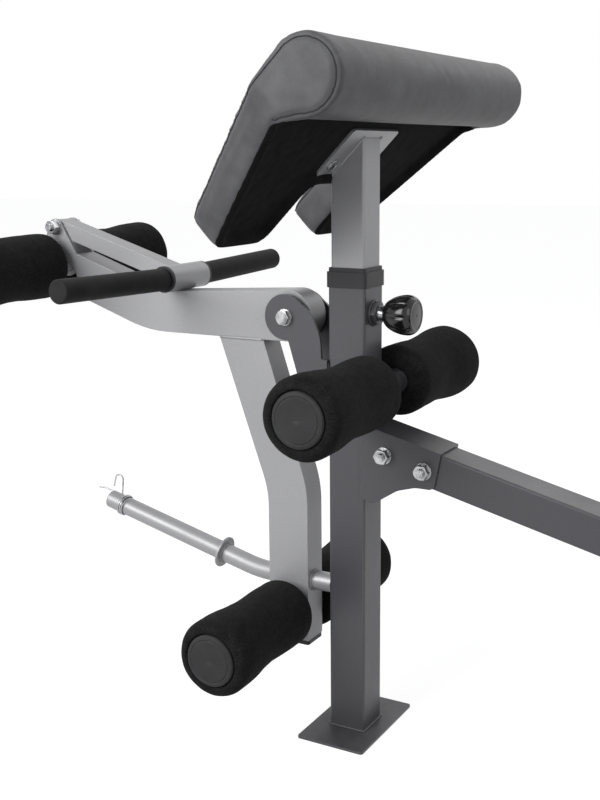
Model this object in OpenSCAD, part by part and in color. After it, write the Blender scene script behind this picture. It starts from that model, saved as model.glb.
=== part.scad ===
// Utility bench: a front upright carries a sliding preacher pad, a leg lever with a folding curl bar
// and foam rollers; a sloping rail carries a seat and an adjustable backrest.
// The origin is on the floor under the front upright, X runs to the rear of the bench and Z up.

/* [Front upright] */
// Side of the square frame tube
tube_w = 50; // [46:1:60]
// Wall of the square frame tube
tube_wall = 1.5; // [1.2:0.1:2.5]
// Height of the top of the front upright
upright_h = 600; // [590:5:640]
// Foot plate size along the bench
foot_x = 94; // [80:1:120]
// Foot plate size across the bench
foot_y = 150; // [120:5:200]
// Thickness of the foot plate
foot_t = 3; // [2:0.5:6]

/* [Rail] */
// Height of the rail section
rail_h = 45; // [40:1:50]
// Wall of the rail
rail_wall = 2; // [1.5:0.1:3]
// Fall of the rail towards the rear, in degrees
rail_fall = 13.9; // [11:0.1:15]
// Height of the rail's centre line where it meets the upright
rail_z = 389.7; // [370:0.1:400]
// Length of the rail bracket behind the upright
bracket_x = 102.8; // [95:0.1:130]
// Thickness of the rail bracket sheet
bracket_t = 3; // [2:0.5:4]
// Length of the rear foot across the bench
rear_foot_y = 500; // [400:10:600]

/* [Preacher pad] */
// Height of the pad's underside at the upright's axis
pad_z = 736.8; // [730:0.1:760]
// Slope of the pad, in degrees
pad_slope = 45; // [40:1:50]
// Width of the pad across the bench
pad_w = 526; // [480:2:600]
// Width of the pad across its lower end
pad_end_w = 336; // [320:2:400]
// Length of the flat of the pad, from the roll's axis
pad_len = 251; // [240:1:280]
// Thickness of the flat of the pad
pad_t = 40; // [34:1:50]
// Radius of the roll along the top of the pad
roll_r = 41.5; // [38:0.5:46]
// Distance from the upright's axis up the slope to the roll's axis
roll_up = 109; // [104:1:120]
// Width of the notch in the pad's lower end
notch_w = 120; // [100:2:140]
// Depth of the notch
notch_len = 97.6; // [80:0.1:110]
// Thickness of the pad boards
board_t = 12; // [9:1:15]
// Thickness of the preacher plate
plate_t = 4; // [3:0.5:6]
// Spacing of the height holes in the preacher post
hole_pitch = 30; // [25:1:35]
// Number of height holes
hole_count = 4; // [3:1:4]

/* [Leg lever] */
// Distance of the lever pivot in front of the upright
pivot_ahead = 59.5; // [56:0.5:66]
// Height of the lever pivot
pivot_z = 542; // [535:1:550]
// Width of the lever across the bench
lever_w = 38; // [34:1:42]
// Wall of the lever beam
beam_wall = 2.5; // [2:0.1:3]
// Radius of the beam round its pivot
beam_r = 32.5; // [31:0.5:35]
// Length of the beam from the pivot to its front end
beam_len = 340.5; // [330:0.5:360]
// Rise of the front part of the beam, in degrees
beam_rise = 19; // [17:0.5:20]
// Height of the beam's front end
beam_tip_h = 58; // [55:1:62]
// Length of the arm below the pivot
arm_len = 432.5; // [420:0.5:440]
// Depth of the lower arm along the bench
arm_x = 58.5; // [54:0.5:64]
// Wall of the arm
arm_wall = 2; // [1.5:0.1:3]

/* [Weight horn] */
// Radius of the horn and roller tubes
round_r = 12.7; // [12:0.1:13.5]
// Wall of the horn and roller tubes
round_wall = 2; // [1.5:0.1:3]
// Height of the horn above the arm's lower end
horn_up = 80.5; // [75:0.5:90]
// Rise of the horn's outer part, in degrees
horn_rise = 14.1; // [10:0.1:18]
// Length of the horn from its bend to its plug
horn_len = 240; // [220:1:280]
// Distance from the bend to the flange
flange_at = 60; // [50:1:80]
// Wire radius of the spring clip
clip_wire_r = 1.15; // [1:0.05:1.3]
// Turns of the spring clip
clip_turns = 2.5; // [1.5:1:3.5]

/* [Curl bar] */
// Length of the curl arm from pin to sleeve
curl_len = 210.6; // [205:0.1:215]
// Width of the curl arm
curl_w = 30; // [28:1:32]
// Depth of the curl arm
curl_h = 21; // [20:0.5:24]
// Outer radius of the curl sleeve
sleeve_r = 17.3; // [16:0.1:19]
// Length of the curl sleeve
sleeve_y = 79.4; // [70:0.2:90]
// Radius of the curl bar
bar_r = 11; // [10:0.5:12]
// Length of the curl bar from grip end to grip end
bar_y = 483.4; // [440:0.2:520]
// Angle of the bar's two ends, in degrees
bar_bend = 2.2; // [0:0.1:6]
// Outer radius of the grips
grip_r = 14.75; // [13.5:0.05:16]

/* [Foam rollers] */
// Length of a foam roller
foam_y = 172; // [150:1:190]
// Largest radius of a foam roller
foam_r = 49; // [46:0.5:52]
// Radius of the foam's waist
foam_waist_r = 43.6; // [41:0.1:46]
// Distance from the bench's middle to the upper rollers
upper_in = 41; // [38:1:60]
// Distance from the bench's middle to the lower rollers
lower_in = 35; // [30:1:50]
// Distance from the bench's middle to the front rollers
front_in = 30; // [28:1:45]
// Height of the upper rollers
upper_z = 460; // [455:1:465]

/* [Seat and backrest] */
// Height of the top of the seat frame
seat_frame_z = 415; // [400:1:430]
// Length of the seat pad
seat_x = 270; // [250:5:300]
// Width of the seat pad and of the backrest
seat_y = 300; // [260:5:320]
// Thickness of the seat and back pads
cushion_t = 49; // [40:1:60]
// Length of the backrest pad
back_x = 680; // [600:10:750]
// Distance from the upright's axis to the backrest hinge
hinge_x = 697; // [690:1:720]
// Step of the backrest adjustment, in degrees
back_step = 15; // [15:1:20]
// Number of backrest holes
back_holes = 5; // [3:1:5]

/* [Hidden] */

$fn = 64;

// Colours seen in the photograph
dark_paint = "#505055";
light_paint = "#a5a5a7";
bright_zinc = "#c9c9cc";
black_plastic = "#2a2a2c";
vinyl = "#5a5a5c";
foam_black = "#202020";
rubber_black = "#2c2c2c";
board_black = "#232323";

// Clearances: a fixed fit, a bolt in its hole, a sliding fit, a running fit and soft forms
fit_gap = 0.1;
hole_gap = 0.2;
slide_gap = 0.2;
run_gap = 0.05;
soft_gap = 0.3;
weld = 0.01;
seam = 0.05;
bend_lap = 1;
cut = 1;

// Hardware
m10_r = 5;
m10_head = 6.4;
m10_flat = 17;
m10_nut = 9.5;
m8_r = 4;
m8_head = 5.3;
m8_flat = 13;
washer_t = 1.6;
washer_ratio = 0.62;

// Frame
half_tube = tube_w / 2;
tube_in = tube_w - 2 * tube_wall;
tube_corner = 3;

// Collar and preacher post
collar_wall = 2;
collar_down = 18;
collar_lip = 6;
liner_wall = 0.7;
liner_down = 36;
liner_w = tube_in - 2 * fit_gap;
preacher_w = liner_w - 2 * liner_wall - 2 * slide_gap;
plunger_z = upright_h - 50;
plunger_hole_r = 5.3;
preacher_tail = 30;
preacher_bottom = plunger_z - (hole_count - 1) * hole_pitch - preacher_tail;

// Pad, in distances s down the slope from the roll's axis and t out of the underside
roll_t = 1.8;
board_inset = 12;
plate_s = 73;
plate_y = 120.8;
plate_up = 5.9;
plate_mid = roll_up - plate_up;
bolt_s = plate_mid + 17.4;
bolt_y = 44;

// Plunger
nut_flat = 27;
nut_x = 8.5;
barrel_r = 9.4;
barrel_x = 34.4;
barrel_start = half_tube - tube_wall + fit_gap;
pin_bore_x = 7.4;
barrel_cap = 3;
spring_bore_r = 7.8;
pin_r = 5;
pin_tip = preacher_w / 2 + 0.4;
pin_travel = 6;
shoulder_r = 7.5;
shoulder_x = 2.5;
stem_r = 4;
shoulder_at = barrel_start + pin_bore_x + pin_travel + 1.5;
knob_start = half_tube + 15.5;
knob_x = 41.5;
spring_wire_r = 0.5;
spring_r = 5.8;
spring_turns = 4;

// Rail
rail_half_z = rail_h / 2 / cos(rail_fall);
foot_top = foot_t + tube_w;
rear_edge_x = half_tube + (rail_z - rail_half_z - foot_top - bracket_t - soft_gap) / tan(rail_fall);
rear_x = rear_edge_x - half_tube;
rail_len = (rear_edge_x - half_tube + 10) / cos(rail_fall);
bolt_drop = 3;
bracket_bolts = [27.9, bracket_x - 22.1];

// Rollers
cap_r = 32.4;
recess_r = cap_r + 0.8;
recess_y = 4.6;
upper_x = half_tube + round_r;

// Lever, in distances from its pivot
pivot_x = -half_tube - pivot_ahead;
pivot_bore_r = m10_r + run_gap;
ear_t = 4;
ear_r = 29;
ear_in = half_tube;
bush_flange = 5.7;
bush_r = 10;
front_run = 120.4;
front_top_run = 133;
beam_knee = beam_len - front_run;
beam_top_knee = beam_len - front_top_run;
tip_low = -beam_r + front_run * tan(beam_rise);
tip_high = tip_low + beam_tip_h;
knee_high = tip_high - front_top_run * tan(beam_rise);
arm_back = 24.5;
arm_front = arm_back - arm_x;
arm_mid = (arm_back + arm_front) / 2;
arm_bottom = pivot_z - arm_len;
lower_x = pivot_x + arm_mid;
lower_z = arm_bottom + 41.5;

// Horn, in distances from its bend
horn_z = arm_bottom + horn_up;
stop_t = 5.7;
stub_end = -half_tube - soft_gap - stop_t;
horn_bend_x = pivot_x + arm_front - 25.9;
horn_bend_r = 160;
horn_reach = horn_bend_r * tan(horn_rise / 2);
horn_plug = 22;
flange_r = 21.7;
flange_t = 4;
clip_at = horn_len - 4.3;
clip_rings = 24;
clip_r = (round_r + soft_gap + clip_wire_r) / cos(180 / clip_rings);
clip_pitch = 2 * clip_wire_r + 0.6;

// Lugs and curl arm
beam_tip_x = pivot_x - beam_len;
lug_t = 3.4;
lug_in = lever_w / 2 - lug_t + 0.4;
lug_pin = [beam_tip_x - 35, pivot_z + tip_high + 36];
front_x = beam_tip_x - 48;
front_z = pivot_z + tip_high - 17;
touch = atan2(knee_high, -beam_top_knee) - acos(beam_r / norm([beam_top_knee, knee_high]));
top_fall = touch - 90;
rest_height = (lug_pin - [pivot_x, pivot_z]) * [cos(touch), sin(touch)] - beam_r - sleeve_r - soft_gap;
curl_fall = asin(rest_height / curl_len) - top_fall;
sleeve_x = lug_pin.x + curl_len * cos(curl_fall);
sleeve_z = lug_pin.y - curl_len * sin(curl_fall);
bush_t = 4;
bar_knee = sleeve_y / 2 + bush_t + 1.5;
grip_end = bar_y / 2;
grip_cap = 3;
echo(curl_fall = curl_fall, sleeve_x = sleeve_x, sleeve_z = sleeve_z);

// Seat and backrest
frame_low = seat_frame_z - 30;
seat_post_x = 535;
hinge_z = seat_frame_z + 9;
hinge_ear_r = 15;
hinge_r = 12;
seat_end_x = hinge_x - 42;
seat_board_z = seat_frame_z + 4;
back_start_x = hinge_x + 20;
adjust_r = 110;
adjust_angle = -88;
cushion_z = seat_board_z + 2;

// Outlines: each corner is [x, y, radius], listed anticlockwise
function unit(v) = v / norm(v);
function flat_point(p) = [p[0], p[1]];
function half_turn(a) = a > 180 ? a - 360 : a < -180 ? a + 360 : a;
function arc(m, r, from, turn, steps) =
  [for (k = [0 : steps]) m + r * [cos(from + turn * k / steps), sin(from + turn * k / steps)]];
function corner(a, b, c, steps) =
  b[2] == 0 ? [flat_point(b)] :
  let (
    p = flat_point(b),
    u = unit(flat_point(a) - p),
    v = unit(flat_point(c) - p),
    half = acos(u * v) / 2,
    longest = 0.48 * min(norm(flat_point(a) - p), norm(flat_point(c) - p)),
    reach = min(b[2] / tan(half), longest),
    r = reach * tan(half),
    m = p + unit(u + v) * r / sin(half),
    first = p + u * reach - m,
    last = p + v * reach - m,
    from = atan2(first.y, first.x)
  )
  arc(m, r, from, half_turn(atan2(last.y, last.x) - from), steps);
function rounded(pts, steps = 6) = [
  for (i = [0 : len(pts) - 1])
    each corner(pts[(i + len(pts) - 1) % len(pts)], pts[i], pts[(i + 1) % len(pts)], steps)
];
function box_corners(w, d, r) =
  [[-w / 2, -d / 2, r], [w / 2, -d / 2, r], [w / 2, d / 2, r], [-w / 2, d / 2, r]];
function box_outline(w, d, r, steps = 4) = rounded(box_corners(w, d, r), steps);

// The corners of an outline moved inwards by d, and its closing edge by a distance of its own if given
function inset_corner(a, b, c, d1, d2) =
  let (
    u = unit(flat_point(b) - flat_point(a)),
    v = unit(flat_point(c) - flat_point(b)),
    turn = u.x * v.y - u.y * v.x,
    step = [d1 * v.x - d2 * u.x, d1 * v.y - d2 * u.y] / turn,
    r = turn > 0 ? b[2] - d1 : b[2] + d1
  )
  [b[0] + step.x, b[1] + step.y, b[2] == 0 ? 0 : max(r, 1)];
function inset(pts, d, closing) =
  let (n = len(pts), last = is_undef(closing) ? d : closing)
  [
    for (i = [0 : n - 1])
      inset_corner(pts[(i + n - 1) % n], pts[i], pts[(i + 1) % n], i == 0 ? last : d, i == n - 1 ? last : d)
  ];

// Points where two circles' outer tangents touch them
function belt(p1, r1, p2, r2) =
  let (
    way = p2 - p1,
    mid = atan2(way.y, way.x),
    side = acos((r1 - r2) / norm(way))
  )
  [
    p1 + r1 * [cos(mid - side), sin(mid - side)], p2 + r2 * [cos(mid - side), sin(mid - side)],
    p2 + r2 * [cos(mid + side), sin(mid + side)], p1 + r1 * [cos(mid + side), sin(mid + side)]
  ];

// A stack of rings, each of the same number of points, closed into one solid
module ring_stack(rings) {
  n = len(rings[0]);
  top = len(rings) - 1;
  polyhedron(
    points = [for (ring = rings) each ring],
    faces = concat(
      [[for (i = [0 : n - 1]) i]],
      [[for (i = [n - 1 : -1 : 0]) top * n + i]],
      [for (k = [0 : top - 1]) for (i = [0 : n - 1])
        [k * n + i, (k + 1) * n + i, (k + 1) * n + (i + 1) % n]],
      [for (k = [0 : top - 1]) for (i = [0 : n - 1])
        [k * n + i, (k + 1) * n + (i + 1) % n, k * n + (i + 1) % n]]
    )
  );
}

// A cushion: its plan outline, inset by each profile step's first number at its second number's height,
// with a pocket for its board, open below
module cushion(pts, profile, pocket_h, closing, pocket_closing) {
  pocket = rounded(inset(pts, board_inset - soft_gap, pocket_closing), 5);
  low = profile[0][1];
  ring_stack(concat(
    [for (z = [low + pocket_h, low]) [for (p = pocket) [p.x, p.y, z]]],
    [for (level = profile) [for (p = rounded(inset(pts, level[0], closing), 5)) [p.x, p.y, level[1]]]]
  ));
}

// A round wire along a path
function way_at(path, i) = unit(path[min(i + 1, len(path) - 1)] - path[max(i - 1, 0)]);
function square_to(v, way) = unit(v - way * (v * way));
function wire_sides(path, first) = [
  for (i = 0, s = square_to(first, way_at(path, 0)); i < len(path);
    i = i + 1, s = square_to(s, way_at(path, min(i, len(path) - 1)))) s
];
function least_gap(path, r, apart) =
  min([for (i = [0 : len(path) - 1 - apart]) for (j = [i + apart : len(path) - 1]) norm(path[i] - path[j])])
  - 2 * r;
module wire(path, r, first, sides = 6) {
  out = wire_sides(path, first);
  ring_stack([
    for (i = [0 : len(path) - 1])
      [for (k = [0 : sides - 1])
        path[i] + r * (cos(360 * k / sides) * out[i] + sin(360 * k / sides) * cross(way_at(path, i), out[i]))]
  ]);
}

// Solids along the bench's axes
module plate(y0, y1) translate([0, y1, 0]) rotate([90, 0, 0]) linear_extrude(y1 - y0) children();
module y_rod(x, z, r, y0, y1) translate([x, y0, z]) rotate([-90, 0, 0]) cylinder(r = r, h = y1 - y0);
module x_rod(x0, x1, z, r) translate([x0, 0, z]) rotate([0, 90, 0]) cylinder(r = r, h = x1 - x0);
module both_sides() {
  children();
  mirror([0, 1, 0]) children();
}
module square_tube(w, d, wall, h, r = tube_corner) difference() {
  linear_extrude(h) polygon(box_outline(w, d, r));
  translate([0, 0, -cut]) linear_extrude(h + 2 * cut)
    polygon(box_outline(w - 2 * wall, d - 2 * wall, max(r - wall, 0.5)));
}

// Bolts: the head's washer lies below zero, the grip above it, then washer, nut and tail
module hex_head(flat, h) {
  edge = flat / sqrt(3);
  intersection() {
    cylinder(r = edge, h = h, $fn = 6);
    rotate_extrude() polygon([[0, 0], [edge + 1, 0], [edge + 1, h - (edge + 1 - flat / 2) * tan(30)],
      [flat / 2, h], [0, h]]);
  }
}
module bolt(r, flat, head, grip, nut, tail) {
  translate([0, 0, -washer_t]) cylinder(r = r, h = grip + 2 * washer_t + nut + tail);
  for (z = [-washer_t, grip]) translate([0, 0, z]) cylinder(r = flat * washer_ratio, h = washer_t);
  translate([0, 0, -washer_t]) rotate([180, 0, 0]) hex_head(flat, head);
  translate([0, 0, grip + washer_t]) hex_head(flat, nut);
}
module screw(r, flat, head, depth) {
  cylinder(r = r, h = depth);
  translate([0, 0, -washer_t]) cylinder(r = flat * washer_ratio, h = washer_t);
  translate([0, 0, -washer_t]) rotate([180, 0, 0]) hex_head(flat, head);
}

// Rail line and places
function rail_line(x) = rail_z - (x - half_tube) * tan(rail_fall);
function beside_rail(x, up, r = 0) = [half_tube + x, rail_line(half_tube + x) + up, r];
saddle_bolts = [rear_x - 12, rear_x + 12];
rail_bolt_points = concat(
  [for (x = bracket_bolts) beside_rail(x, -bolt_drop)],
  [for (x = saddle_bolts) [x, rail_line(x)]]
);
module on_rail() translate([half_tube, 0, rail_z]) rotate([0, rail_fall, 0]) children();
module on_pad()
  translate([roll_up * cos(pad_slope), 0, pad_z + roll_up * sin(pad_slope)])
    rotate([0, 180 - pad_slope, 0]) rotate([180, 0, 0]) children();
module on_pivot() translate([pivot_x, pivot_z]) children();
module on_horn() translate([horn_bend_x, 0, horn_z]) rotate([0, horn_rise - 90, 0]) children();
module on_curl_arm() translate([lug_pin.x, 0, lug_pin.y]) rotate([0, curl_fall, 0]) children();

// Frame
module front_upright() color(dark_paint) difference() {
  translate([0, 0, foot_t]) square_tube(tube_w, tube_w, tube_wall, upright_h - foot_t);
  x_rod(tube_in / 2 - cut, half_tube + cut, plunger_z, barrel_r + fit_gap);
}

module foot_plate() color(dark_paint) linear_extrude(foot_t) polygon(box_outline(foot_x, foot_y, 4));

module upright_collar() color(black_plastic) translate([0, 0, upright_h]) {
  opening = box_outline(preacher_w + 2 * slide_gap, preacher_w + 2 * slide_gap, tube_corner);
  difference() {
    union() {
      translate([0, 0, -collar_down]) linear_extrude(collar_down + 1)
        polygon(box_outline(tube_w + 2 * collar_wall, tube_w + 2 * collar_wall, tube_corner + 1));
      linear_extrude(collar_lip) polygon(box_outline(tube_w, tube_w, tube_corner));
    }
    translate([0, 0, -collar_down - cut]) linear_extrude(collar_down + cut)
      polygon(box_outline(tube_w + 2 * fit_gap, tube_w + 2 * fit_gap, tube_corner));
    translate([0, 0, -cut]) linear_extrude(collar_lip + 2 * cut) polygon(opening);
  }
  difference() {
    translate([0, 0, -liner_down]) linear_extrude(liner_down + 1)
      polygon(box_outline(liner_w, liner_w, tube_corner));
    translate([0, 0, -liner_down - cut]) linear_extrude(liner_down + 2 * cut + 1) polygon(opening);
  }
}

module rail_bracket() color(dark_paint) {
  rim = rail_half_z + bracket_t / cos(rail_fall);
  difference() {
    plate(-half_tube - bracket_t, half_tube + bracket_t) polygon(rounded([
      beside_rail(-4, -70, 5), beside_rail(14, -70, 14), beside_rail(46, -41, 30),
      beside_rail(70, -28, 30), beside_rail(bracket_x - 9, -rail_half_z + 1, 8),
      beside_rail(bracket_x, rim), beside_rail(-4, rim)
    ]));
    plate(-half_tube, half_tube) polygon([
      [0, rail_z - 5 * rail_h], flat_point(beside_rail(2 * bracket_x, -5 * rail_h)),
      flat_point(beside_rail(2 * bracket_x, rail_half_z)), flat_point(beside_rail(0, rail_half_z)),
      [half_tube, rail_z + 2 * rail_h], [0, rail_z + 2 * rail_h]
    ]);
    for (p = rail_bolt_points) y_rod(p.x, p.y, m10_r + hole_gap, -tube_w, tube_w);
  }
}

module main_rail() color(dark_paint) difference() {
  on_rail() translate([-rail_h, 0, 0]) rotate([0, 90, 0])
    square_tube(rail_h, tube_w, rail_wall, rail_len + rail_h);
  translate([half_tube - 3 * tube_w, -tube_w, rail_z - 2 * rail_h])
    cube([3 * tube_w, 2 * tube_w, 4 * rail_h]);
  for (p = rail_bolt_points) y_rod(p.x, p.y, m10_r + hole_gap, -tube_w, tube_w);
}

module rail_bolts() color(bright_zinc) for (p = rail_bolt_points)
  translate([p.x, half_tube + bracket_t, p.y]) rotate([90, 0, 0])
    bolt(m10_r, m10_flat, m10_head, tube_w + 2 * bracket_t, m10_nut, 4);

module rear_foot() color(dark_paint)
  translate([rear_x, rear_foot_y / 2 - foot_t, foot_t + half_tube]) rotate([90, 0, 0])
    square_tube(tube_w, tube_w, tube_wall, rear_foot_y - 2 * foot_t);

module rear_saddle() color(dark_paint) difference() {
  plate(-half_tube - bracket_t, half_tube + bracket_t) polygon(rounded([
    [rear_x - half_tube, foot_top, 0], [rear_x + half_tube, foot_top, 0],
    [rear_x + half_tube, rail_line(rear_x + half_tube) + 14, 10],
    [rear_x - half_tube, rail_line(rear_x - half_tube) + 14, 10]
  ]));
  translate([rear_x - tube_w, -half_tube, foot_top + bracket_t]) cube([2 * tube_w, tube_w, 3 * rail_h]);
  for (p = rail_bolt_points) y_rod(p.x, p.y, m10_r + hole_gap, -tube_w, tube_w);
}

// Black plastic ends: a cup over each end of the rear foot and a plug in the rail's rear end
module frame_end_plugs() color(black_plastic) {
  cup = 25;
  plug_depth = 15;
  both_sides() translate([rear_x, -rear_foot_y / 2, foot_t + half_tube]) rotate([-90, 0, 0]) difference() {
    linear_extrude(cup) polygon(box_outline(tube_w + 2 * foot_t, tube_w + 2 * foot_t, tube_corner));
    translate([0, 0, foot_t]) linear_extrude(cup)
      polygon(box_outline(tube_w + 2 * fit_gap, tube_w + 2 * fit_gap, tube_corner));
  }
  on_rail() translate([rail_len - plug_depth, 0, 0]) rotate([0, 90, 0]) {
    linear_extrude(plug_depth) polygon(box_outline(
      rail_h - 2 * rail_wall - 2 * fit_gap, tube_w - 2 * rail_wall - 2 * fit_gap, 1));
    translate([0, 0, plug_depth]) linear_extrude(foot_t) polygon(box_outline(rail_h, tube_w, tube_corner));
  }
}

// Plunger that holds the preacher post
module plunger_nut() color(dark_paint) difference() {
  translate([half_tube, 0, plunger_z]) rotate([0, 90, 0]) rotate([0, 0, 30]) hex_head(nut_flat, nut_x);
  x_rod(half_tube - cut, half_tube + nut_x + cut, plunger_z, barrel_r + fit_gap);
}

module plunger_barrel() color(bright_zinc) difference() {
  end = barrel_start + barrel_x;
  x_rod(barrel_start, end, plunger_z, barrel_r);
  x_rod(barrel_start - cut, end - barrel_cap, plunger_z, pin_r + run_gap);
  x_rod(barrel_start + pin_bore_x, end - barrel_cap, plunger_z, spring_bore_r);
  x_rod(barrel_start, end + cut, plunger_z, stem_r + run_gap);
}

module lock_pin() color(bright_zinc) {
  tip = 1.5;
  x_rod(pin_tip + tip, shoulder_at, plunger_z, pin_r);
  translate([pin_tip, 0, plunger_z]) rotate([0, 90, 0]) cylinder(r1 = pin_r - tip, r2 = pin_r, h = tip);
  x_rod(shoulder_at, shoulder_at + shoulder_x, plunger_z, shoulder_r);
  x_rod(shoulder_at, knob_start + 29.5, plunger_z, stem_r);
}

module pull_knob() color(black_plastic) {
  small_r = 16;
  large_r = 26;
  face_r = 21.5;
  neck = 3;
  flare = 31;
  hollow = 25.5;
  lobes = 8;
  flute_r = 16;
  flute_depth = 2.4;
  lean = atan((large_r - small_r) / (flare - neck));
  translate([knob_start, 0, plunger_z]) rotate([0, 90, 0]) difference() {
    union() {
      rotate_extrude() polygon(rounded([
        [0, 0, 0], [small_r - 1.5, 0, 1], [small_r, neck, 4], [large_r, flare, 4],
        [face_r, knob_x, 3], [0, knob_x, 0]
      ], 4));
      cylinder(r = 13, h = knob_x + 1);
    }
    translate([0, 0, -cut]) cylinder(r = barrel_r + 0.5, h = hollow + cut);
    cylinder(r = stem_r + fit_gap, h = 30);
    for (i = [0 : lobes - 1]) rotate([0, 0, 360 * i / lobes]) translate([small_r, 0, neck])
      rotate([0, lean, 0]) translate([flute_r - flute_depth, 0, -2 * neck])
        cylinder(r = flute_r, h = 2 * flare);
  }
}

spring_start = shoulder_at + shoulder_x + soft_gap + spring_wire_r;
spring_end = barrel_start + barrel_x - barrel_cap - soft_gap - spring_wire_r;
spring_path = [
  for (k = [0 : 8 * spring_turns])
    [
      spring_start + (spring_end - spring_start) * k / (8 * spring_turns),
      spring_r * cos(45 * k),
      plunger_z + spring_r * sin(45 * k)
    ]
];
echo(least_spring_gap = least_gap(spring_path, spring_wire_r, 5));
module plunger_spring() color(bright_zinc) wire(spring_path, spring_wire_r, [0, 1, 0]);

// Foam rollers, each on its tube with a stop ring inside and a capped end outside
module roller_tube(x, z, inner) {
  half = inner + foam_y - 4;
  ring_y = 3;
  difference() {
    union() {
      y_rod(x, z, round_r, -half, half);
      both_sides() y_rod(x, z, round_r + 4.3, inner - soft_gap - ring_y, inner - soft_gap);
    }
    y_rod(x, z, round_r - round_wall, -half - cut, half + cut);
  }
}

function eased(a, b, t) = a + (b - a) * (1 - cos(180 * min(max(t, 0), 1))) / 2;
function foam_side(u) =
  let (bulge = 0.128 * foam_y, waist = 0.57 * foam_y, inner_bulge = 0.87 * foam_y)
  u < waist ? eased(foam_r, foam_waist_r, (u - bulge) / (waist - bulge))
  : eased(foam_waist_r, foam_waist_r + 1.8, (u - waist) / (inner_bulge - waist));
module foam(x, z, inner, far) color(foam_black) {
  dome = foam_r - recess_r - 0.8;
  inner_dome = 14;
  bore = round_r + run_gap;
  translate([x, (far ? 1 : -1) * (inner + foam_y), z]) rotate([far ? 90 : -90, 0, 0])
    rotate_extrude() polygon(concat(
      [[bore, recess_y], [recess_r, recess_y], [recess_r, 0]],
      [for (a = [0 : 15 : 75]) [foam_side(0) - dome * (1 - sin(a)), dome * (1 - cos(a))]],
      [for (k = [0 : 14]) let (u = dome + (foam_y - dome - inner_dome) * k / 14) [foam_side(u), u]],
      [for (a = [75 : -15 : 0])
        [foam_side(foam_y) - inner_dome * (1 - sin(a)), foam_y - inner_dome * (1 - cos(a))]],
      [[bore, foam_y]]
    ));
}
module roller_caps(x, z, inner) {
  spigot_r = round_r - round_wall - fit_gap;
  seat = 4;
  spigot = 18;
  both_sides() translate([x, -inner - foam_y, z]) rotate([-90, 0, 0]) rotate_extrude()
    polygon([
      [0, -2.4], [cap_r - 7, -2.2], [cap_r - 6.4, -1.4], [cap_r - 5.2, -1.4], [cap_r - 4.6, -2],
      [cap_r - 1.2, -1.2], [cap_r, 0.6], [cap_r, seat], [spigot_r, seat], [spigot_r, seat + spigot],
      [0, seat + spigot]
    ]);
}

// The upper tube is welded along the upright's rear face, above and below the line where they touch
module upper_roller_tube() color(light_paint) {
  bead = 9;
  roller_tube(upper_x, upper_z, upper_in);
  for (side = [-1, 1]) plate(-half_tube + 2, half_tube - 2) polygon([
    [half_tube, upper_z + side * 4], [half_tube, upper_z + side * (bead + 1.5)],
    [upper_x - sqrt(round_r * round_r - bead * bead) + 0.5, upper_z + side * bead]
  ]);
}
module upper_end_caps() color(black_plastic) roller_caps(upper_x, upper_z, upper_in);
module upper_foam_near() foam(upper_x, upper_z, upper_in, false);
module upper_foam_far() foam(upper_x, upper_z, upper_in, true);

// Lever pivot
module pivot_bracket() color(dark_paint) {
  ear_foot = 147;
  web_top = 50.5;
  face = pivot_ahead;
  difference() {
    union() {
      both_sides() plate(ear_in, ear_in + ear_t) on_pivot() {
        circle(ear_r);
        polygon(rounded([
          [0, 0, 0], [4, -28, 0], [16.5, -69, 90], [30, -126, 45], [face, -ear_foot, 0],
          [face, -web_top, 0], [face - 8, -web_top, 3], [face - 9, -24, 60], [39, 5, 45], [20, 20.5, 0]
        ]));
      }
      translate([-half_tube - ear_t, -ear_in - weld, pivot_z - ear_foot])
        cube([ear_t, 2 * ear_in + 2 * weld, ear_foot - web_top]);
    }
    y_rod(pivot_x, pivot_z, m10_r + hole_gap, -tube_w, tube_w);
  }
}
module pivot_bolt() color(bright_zinc) translate([pivot_x, -ear_in - ear_t, pivot_z]) rotate([-90, 0, 0])
  bolt(m10_r, m10_flat, m10_head, 2 * (ear_in + ear_t), m10_nut, 2);
module pivot_bushes() color(black_plastic) both_sides() difference() {
  union() {
    y_rod(pivot_x, pivot_z, bush_r + 6, lever_w / 2, ear_in - soft_gap);
    y_rod(pivot_x, pivot_z, bush_r, lever_w / 2 - 14, lever_w / 2);
  }
  y_rod(pivot_x, pivot_z, pivot_bore_r, 0, tube_w);
}

// Lever: a box beam with a turned-up front part, and an arm welded under it
function beam_corners(length) =
  let (low = -beam_r + (length - beam_knee) * tan(beam_rise))
  [
    [(beam_r - seam) * cos(touch), (beam_r - seam) * sin(touch), 0], [-beam_top_knee, knee_high, 150],
    [-length, low + beam_tip_h, 0], [-length, low, 0], [-beam_knee, -beam_r, 190],
    [0, seam - beam_r, 0]
  ];
module lever_beam() color(light_paint) {
  sleeve = bush_r + 4;
  difference() {
    union() {
      difference() {
        plate(-lever_w / 2, lever_w / 2) on_pivot() {
          circle(beam_r);
          polygon(rounded(beam_corners(beam_len), 8));
        }
        plate(-lever_w / 2 + beam_wall, lever_w / 2 - beam_wall) on_pivot() {
          circle(beam_r - beam_wall);
          polygon(rounded(inset(beam_corners(beam_len + 3 * beam_wall), beam_wall), 8));
        }
      }
      y_rod(pivot_x, pivot_z, sleeve, -lever_w / 2, lever_w / 2);
    }
    y_rod(pivot_x, pivot_z, bush_r + fit_gap, -tube_w, tube_w);
  }
}

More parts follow.
